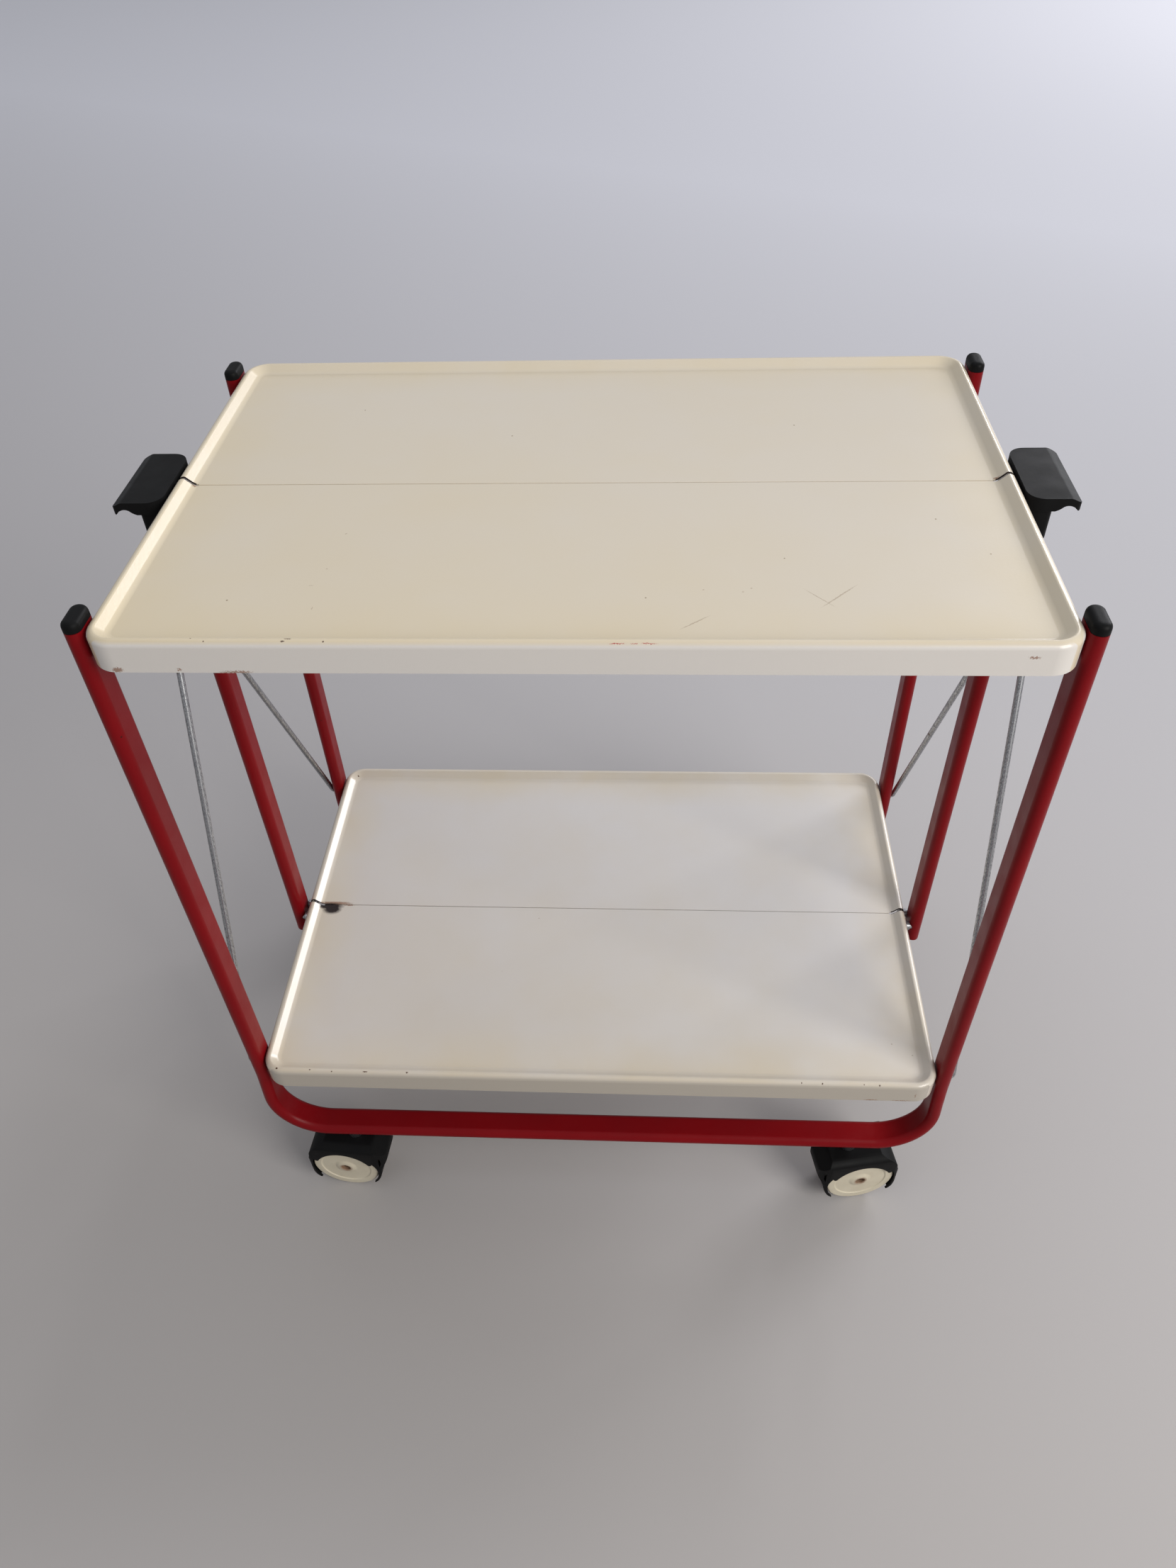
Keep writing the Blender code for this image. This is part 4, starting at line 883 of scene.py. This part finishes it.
def makeHandleScrew():
    look = handleScrew
    face = handle["postOuter"] + look["seat"]
    tip = upright["x"] + 0.003
    section = [(0, tip), (look["shank"], tip), (look["shank"], face), (look["head"], face)]
    for across, out in ((1.0, 0.3), (0.8, 0.8), (0.45, 1.0), (0.0, 1.0)):
        section.append((look["head"] * across, face + look["rise"] * out))
    piece = spunAcross(section, 24)
    piece.location = (0, 0, upright["screwZ"])
    applyPlace(piece)
    wide, place = look["slotLong"], (face + look["rise"] + 0.0002, 0, upright["screwZ"])
    for size in ((0.002, look["slot"], wide), (0.002, wide, look["slot"])):  # cross slot
        cutBlock(piece, size, place)
    return finishShape(piece, "rightHandleScrew", rivetZinc, 30)


standPair(makeHandleScrew(), "handle_screw")
print("handles moulded")

# Runners and rods

runner = {
    "inner": 0.3025, "outer": 0.3294, "half": 0.018, "low": 0.5713, "high": 0.6047, "corner": 0.004,
    "edge": 0.0011, "rodY": 0.008, "rodZ": 0.588, "hole": 0.00305, "holeDepth": 0.008,
}


def makeRunner():
    look = runner
    plan = roundedPlan(look["half"], look["inner"], look["outer"], look["corner"], look["corner"])
    piece = outlinePiece(plan, look["high"] - look["low"], True)
    piece.location.z = (look["high"] + look["low"]) / 2
    applyPlace(piece)
    softenEdges(piece, look["edge"], 3, 50)
    boreForUpright(piece, look["low"] - 0.002, look["high"] - look["low"] + 0.004)
    for y in (-look["rodY"], look["rodY"]):
        inside = (look["outer"] - look["holeDepth"], y, look["rodZ"])
        drill(piece, look["hole"], inside, (look["outer"] + 0.002, y, look["rodZ"]))
    return finishShape(piece, "rightRunner", handlePlastic, 35)


standPair(makeRunner(), "runner")
rod = {
    "radius": 0.00275, "bend": 0.0032, "hookEnd": 0.2942, "footX": 0.3165, "topX": 0.3335,
    "topEnd": 0.3298, "sides": 16,
}


def makeRod(hand, side):
    look = rod
    y, top = side * uFrame["legY"], side * runner["rodY"]
    line = [
        (hand * look["hookEnd"], y, uFrame["hookZ"]), (hand * look["footX"], y, uFrame["hookZ"]),
        (hand * look["topX"], top, runner["rodZ"]), (hand * look["topEnd"], top, runner["rodZ"]),
    ]
    clearSelection()
    bpy.ops.mesh.primitive_circle_add(
        vertices=look["sides"], radius=look["radius"], rotation=(0, math.pi / 2, 0), location=line[0],
    )
    piece = bpy.context.object
    applyPlace(piece)
    setMode("EDIT")
    selectAll()
    sweepAlong(line, look["bend"], 8)
    selectAll()
    bpy.ops.mesh.fill_holes(sides=0)
    cleanMesh()
    breakEdges(piece)
    return piece


for name, node, way, hand in corners:
    standFor(finishShape(makeRod(hand, way), name + "Rod", rodZinc, 40), node + "_rod")
print("rods bent")

# Rivets and caps that hold the trays

rivet = {
    "shank": 0.003, "head": 0.0055, "rise": 0.0022, "headGap": 0.0003, "cornerGap": 0.0011,
    "collar": 0.0045, "reach": 0.0045, "seat": 0.0003, "sides": 24, "skirt": 0.300,
}


def headSection(radius, start, rise):  # a low dome that faces the middle of the tray
    dome = [(0.0, 1.0), (0.35, 0.96), (0.65, 0.82), (0.88, 0.55), (1.0, 0.2)]
    return [(radius * share, start - rise * up) for share, up in dome] + [(radius, start)]


def makeRivet(gap, headGap, collar):
    look = rivet
    face = look["skirt"]
    section = headSection(look["head"], face - trayHalf["sheet"] - headGap, look["rise"])
    section.append((look["shank"], face - trayHalf["sheet"] - headGap))
    if collar:
        near, far = face + look["seat"], face + gap - look["seat"]
        section += [(look["shank"], near), (look["collar"], near), (look["collar"], far)]
        section.append((look["shank"], far))
    end = face + gap + look["reach"]
    section += [(look["shank"], end), (0, end)]
    return finishShape(spunAcross(section, look["sides"]), "rivet", rivetZinc, 40)


legRivet = makeRivet(0.001, rivet["cornerGap"], False)
centreRivet = makeRivet(0.0055, rivet["headGap"], True)
lockCap = {"radius": 0.0065, "length": 0.006, "bore": 0.00305, "floor": 0.002}


def makeLockCap():
    look = lockCap
    start = rivet["skirt"] - trayHalf["sheet"] - rivet["cornerGap"]
    section = headSection(look["radius"], start, look["length"])
    floor = start - look["length"] + look["floor"]
    section += [(look["bore"], start), (look["bore"], floor), (0, floor)]
    return finishShape(spunAcross(section, rivet["sides"]), "lockCap", rivetZinc, 40)


hookCap = makeLockCap()
for name, node, way, hand in corners:
    turn = math.pi if hand < 0 else 0.0
    legY = way * uFrame["legY"]
    place = (0, legY, uFrame["pivotZ"])
    standFor(copyPiece(legRivet, name + "LegRivet", turn, place), node + "_leg_rivet")
    place = (0, legY, uFrame["hookZ"])
    standFor(copyPiece(hookCap, name + "LockCap", turn, place), node + "_lock_cap")
    for level, z in (("upper", uFrame["pivotZ"]), ("lower", uFrame["hookZ"])):
        place = (0, way * upright["pivotY"], z)
        piece = copyPiece(centreRivet, f"{level}{name}CentreRivet", turn, place)
        standFor(piece, f"{level}_{node}_centre_rivet")
for piece in (legRivet, centreRivet, hookCap):
    drop(piece)
print("rivets set")

# Castors: each is made about its stem, with +X where the wheels trail

castor = {
    "trail": 0.012, "hubZ": 0.03272, "wheel": 0.0327, "stemX": 0.238, "stemY": 0.185,
    "hoodTop": 0.0723, "hoodHalf": 0.0218, "wall": 0.0021, "gap": 0.0015, "web": 0.005,
    "arch": 0.0285, "archEdge": 0.0125, "flare": 0.003, "stem": 0.0035, "shank": 0.004,
    "collar": 0.0075, "collarThick": 0.0116, "stemReach": 0.018, "axle": 0.0041, "axleHalf": 0.0165,
    "face": 0.0189, "dish": 0.0180, "boss": 0.0197, "tread": 0.0016, "tipThin": 0.0023,
    "leadRound": 0.014, "tailRound": 0.006, "leadEnd": -0.0306, "tailEnd": 0.0489, "play": 0.0003,
}
castorTurns = {"front_left": 175.5, "front_right": 10.7, "rear_left": 184.5, "rear_right": -10.7}


def hubPoints(points):  # from the hub to the stem's own axes
    return [(x + castor["trail"], z + castor["hubZ"]) for x, z in points]


def skirtTip(outer, start, end):  # wraps the wheel and thins towards the start
    points = []
    for i in range(11):
        turn = math.radians(start + (end - start) * i / 10)
        radius = outer - castor["tipThin"] * (1 - i / 10) ** 2
        points.append((radius * math.cos(turn), radius * math.sin(turn)))
    return points


def hoodSide():
    look = castor
    outer = look["wheel"] + look["gap"] + look["wall"] + 0.0002
    top = look["hoodTop"] - look["hubZ"]
    trailing = cutCorners([(0.0366, 0.000), (0.0369, 0.007), (0.0362, 0.0125), (0.0345, 0.0170)], 2)
    kink = [(0.0338, 0.0180), (0.0336, 0.0192)]
    crown = cutCorners(
        [(0.0334, 0.0205), (0.0325, 0.0270), (0.0288, 0.0325), (0.0240, 0.0362), (0.0165, top)], 3,
    )
    lead = cutCorners([(-0.0290, top), (-0.0318, top - 0.0008), (-0.0337, top - 0.0034)], 2)
    brow = cutCorners([(-0.0412, 0.0236), (-0.0424, 0.0206), (-0.0426, 0.0178)], 2)
    chin = cutCorners([(-0.0426, 0.0145), (-0.0423, 0.0128), (-0.0410, 0.0102)], 2)
    return hubPoints(
        skirtTip(outer, -34, -3) + trailing + kink + crown + lead + brow + chin
        + skirtTip(outer, 214, 177)[::-1]
    )


def hoodRoom():
    look = castor
    room = look["wheel"] + look["gap"] + 0.0002
    side = cutCorners([(0.0305, 0.0170), (0.0300, 0.0230), (0.0265, 0.0290), (0.0205, 0.0330)], 2)
    lead = [(0.016, room), (-0.0275, room), (-0.0375, 0.0215), (-0.0375, 0.0130)]
    low = [(-0.002, -0.07), (0.002, -0.07)]
    near, far = arcPoints((0, 0), room, -70, 24, 24), arcPoints((0, 0), room, 174, 250, 18)
    return hubPoints(near + side + lead + far + low)


def skirtWindow():
    look = castor
    room = look["wheel"] + 0.0005
    flare = look["archEdge"] + look["flare"]
    edge = math.degrees(math.asin(flare / room))
    dip = math.degrees(math.asin(look["archEdge"] / look["arch"]))
    return hubPoints(
        arcPoints((0, 0), room, -180 - edge, edge, 60)
        + [(0.0280, 0.0133), (0.0265, 0.0126)]
        + arcPoints((0, 0), look["arch"], dip + 2, 178 - dip, 40)
        + [(-0.0265, 0.0126), (-0.0280, 0.0133)]
    )


def webRelief():
    wide = castor["wheel"] - 0.002
    boss = arcPoints((0, 0), 0.0105, -180, 0, 16)
    left = [(-wide, 0.0021), (-0.0105, 0.0021)]
    right = [(0.0105, 0.0021), (wide, 0.0021)]
    return hubPoints(left + boss + right + [(wide, -0.07), (-wide, -0.07)])


def hoodShoulders():  # seen from the hood's end
    half, top = castor["hoodHalf"] + 0.0003, castor["hoodTop"]
    edge = [(half, -0.01), (half, top - 0.0080), (0.0206, top - 0.0034)]
    side = cutCorners(edge + [(0.0150, top - 0.0002), (0.0100, top + 0.0004)], 3)
    return side + [(-across, height) for across, height in reversed(side)]


def makeHood():
    look = castor
    piece = outlinePiece(hoodSide(), 2 * look["hoodHalf"])
    ends = (look["leadEnd"], look["tailEnd"], look["leadRound"], look["tailRound"])
    mask = outlinePiece(roundedPlan(look["hoodHalf"], *ends, 10), 0.2, True)
    combine(piece, mask, "INTERSECT")
    mask = outlinePiece(hoodShoulders(), 0.2)
    mask.rotation_euler = (0, 0, math.pi / 2)
    combine(piece, mask, "INTERSECT")
    softenEdges(piece, 0.0016, 4, 48)
    skin = look["hoodHalf"] - look["wall"]
    for way in (-1, 1):
        well = outlinePiece(hoodRoom(), skin - look["web"])
        well.location.y = way * (skin + look["web"]) / 2
        combine(piece, well)
        window = outlinePiece(skirtWindow(), 2 * look["wall"] + 0.0008)
        window.location.y = way * look["hoodHalf"]
        combine(piece, window)
    combine(piece, outlinePiece(webRelief(), 4 * look["web"]))
    hubX, hubZ = look["trail"], look["hubZ"]
    drill(piece, look["axle"] + look["play"], (hubX, -0.013, hubZ), (hubX, 0.013, hubZ))
    foot = look["hoodTop"] - look["stemReach"]
    drill(piece, look["stem"] + look["play"], (0, 0, foot), (0, 0, 0.08))
    return finishShape(piece, "castorHood", hoodPlastic, 30)


def makeWheel():  # on the hub's -Y side
    look = castor
    radius, bore, tread = look["wheel"], look["axle"] + look["play"], look["tread"]
    face, dish, boss = look["face"], look["dish"], look["boss"]
    section = [(bore, boss - 0.0006), (bore + 0.0006, boss)]
    section += cutCorners([(0.0064, boss), (0.0080, boss - 0.0004), (0.0105, dish), (0.0125, dish)], 2)
    section += cutCorners([(0.0235, dish - 0.0001), (0.0246, dish), (0.0252, face), (0.0262, face)], 2)
    section += arcPoints((radius - tread, face - tread), tread, 90, 0, 6)
    section += cutCorners([(radius, 0.0165), (radius - 0.0001, 0.0115), (radius, 0.0070)], 1)
    section += [(radius - 0.0008, 0.0056), (bore, 0.0056)]
    piece = spunPiece([(r, -y) for r, y in section], 72)
    spread = piece.data.attributes.new("fromAxle", "FLOAT", "POINT")
    for vert in piece.data.vertices:
        spread.data[vert.index].value = math.hypot(vert.co.x, vert.co.z)
    piece.location = (look["trail"], 0, look["hubZ"])
    return finishShape(piece, "castorWheel", creamPlastic, 35)


def makeAxle():
    look = castor
    radius, half = look["axle"], look["axleHalf"]
    section = [(0, 0.0004 - half), (radius * 0.5, 0.0001 - half)]
    section += [(radius - 0.0005, -half), (radius, 0.0005 - half)]
    section += [(r, -y) for r, y in reversed(section)]
    piece = spunPiece(section, 32)
    piece.location = (look["trail"], 0, look["hubZ"])
    return finishShape(piece, "castorAxle", axleSteel, 35)


def makeStem():
    look = castor
    shank, collar, stem = look["shank"], look["collar"], look["stem"]
    base = look["hoodTop"] + look["play"]
    ring = base + look["collarThick"]
    tip, foot = ring + 0.0105, base - look["stemReach"]
    section = [(0, tip), (shank - 0.0008, tip), (shank, tip - 0.0008), (shank, ring), (collar, ring)]
    section += [(collar, base), (stem, base), (stem, foot), (0, foot)]
    piece = spunPiece(section, 24)
    piece.rotation_euler = (math.pi / 2, 0, 0)
    return finishShape(piece, "castorStem", rivetZinc, 35)


hood, wheel, axle, stem = makeHood(), makeWheel(), makeAxle(), makeStem()
for name, node, way, hand in corners:
    turn = math.radians(castorTurns[node])
    place = (hand * castor["stemX"], way * castor["stemY"], 0)
    for kind, source in (("Hood", hood), ("Axle", axle), ("Stem", stem)):
        piece = copyPiece(source, f"{name}Castor{kind}", turn, place)
        standFor(piece, f"{node}_castor_{kind.lower()}")
    faceDown = way * hand > 0  # whether the castor's own -Y side faces the trolley's middle
    for kind, flipped in (("Outer", faceDown), ("Inner", not faceDown)):
        piece = copyPiece(wheel, f"{name}Castor{kind}Wheel")
        if flipped:
            hub = Matrix.Translation((castor["trail"], 0, 0))
            piece.data.transform(hub @ Matrix.Rotation(math.pi, 4, "Z") @ hub.inverted())
        piece.rotation_euler = (0, 0, turn)
        piece.location = place
        applyPlace(piece)
        standFor(piece, f"{node}_castor_{kind.lower()}_wheel")
for piece in (hood, wheel, axle, stem):
    drop(piece)
print("castors fitted")

# Floor, light and camera

room = {
    "floor": "#A39F9D", "floorPaintedLight": "#D2D2D8", "floorSize": 40.0, "sky": "#E4E6EB",
    "skyStrength": 0.57,
}
lamps = {
    "key": {
        "place": (1.5, -1.4, 1.5), "aim": (0.0, 0.0, 0.45), "size": (1.2, 1.2), "tilt": 0.0,
        "power": 38.0, "colour": "#FFFCF7",
    },
    "top": {
        "place": (-0.1, 0.4, 2.6), "aim": (0.0, 0.0, 0.3), "size": (2.2, 2.2), "tilt": 0.0,
        "power": 11.0, "colour": "#F6F8FF",
    },
    "window": {
        "place": (4.95, 9.2, 5.35), "aim": (-0.3, 0.0, 0.6), "size": (1.1, 3.8), "tilt": 44.0,
        "power": 170.0, "colour": "#FBFBFF",
    },
    "side": {
        "place": (6.0, 5.45, 3.5), "aim": (-0.3, 0.0, 0.3), "size": (3.2, 1.7), "tilt": 0.0,
        "power": 290.0, "colour": "#FBFBFF",
    },
}


def makeFloor():
    look = room
    clearSelection()
    bpy.ops.mesh.primitive_plane_add(size=look["floorSize"], location=(0, 0, 0))
    floor = bpy.context.object
    floor.name = "studioFloor"
    material, tree, shader, where = startMaterial("paleFloor", {"Roughness": 0.85, "IOR": 1.4})
    # painted light: the floor's colour brightens towards the back and the right, standing in for the
    # light that falls there more
    away = vectorOf(tree, "DOT_PRODUCT", where, (0.5, 1.0, 0.0), output="Value")
    mask = remap(tree, away, -0.4, 3.2)
    plugIn(tree, shader, colour=colourOver(tree, look["floor"], look["floorPaintedLight"], mask))
    floor.data.materials.append(material)


def addLamp(label):
    look = lamps[label]
    place, aim = Vector(look["place"]), Vector(look["aim"])
    tilt = Matrix.Rotation(math.radians(look["tilt"]), 3, "Z").to_quaternion()
    facing = (aim - place).to_track_quat("-Z", "Y") @ tilt
    clearSelection()
    bpy.ops.object.light_add(type="AREA", location=place, rotation=facing.to_euler())
    lamp = bpy.context.object
    lamp.name = label + "Lamp"
    lamp.data.shape = "RECTANGLE"
    lamp.data.size, lamp.data.size_y = look["size"]
    lamp.data.energy = look["power"]
    lamp.data.color = hexColour(look["colour"])[:3]


def makeWorld():
    world = bpy.data.worlds.new("studioSky")
    bpy.context.scene.world = world
    world.use_nodes = True
    sky = world.node_tree.nodes["Background"]
    sky.inputs["Color"].default_value = hexColour(room["sky"])
    sky.inputs["Strength"].default_value = room["skyStrength"]


view = {
    "place": (0.04666, -0.72807, 1.06969), "down": 43.823, "turn": -4.416, "roll": -2.525,
    "pixels": 1579.22, "height": 2212, "sensor": 36.0,
}


def makeCamera():
    look = view
    down, turn, roll = (math.radians(look[key]) for key in ("down", "turn", "roll"))
    level = math.cos(down)
    ahead = Vector((math.sin(turn) * level, math.cos(turn) * level, -math.sin(down)))
    across = Vector((math.cos(turn), -math.sin(turn), 0))
    over = across.cross(ahead)
    right = math.cos(roll) * across + math.sin(roll) * over
    up = math.cos(roll) * over - math.sin(roll) * across
    clearSelection()
    bpy.ops.object.camera_add()
    camera = bpy.context.object
    facing = Matrix((right, up, -ahead)).transposed().to_4x4()
    camera.matrix_world = Matrix.Translation(look["place"]) @ facing
    camera.data.sensor_fit = "VERTICAL"
    camera.data.sensor_height = look["sensor"]
    camera.data.lens = look["sensor"] * look["pixels"] / look["height"]
    camera.data.clip_start = 0.01
    camera.data.clip_end = 100.0
    bpy.context.scene.camera = camera


makeFloor()
makeWorld()
for label in lamps:
    addLamp(label)
makeCamera()
bpy.context.scene.view_settings.view_transform = "Standard"
print("floor, lamps and camera placed")
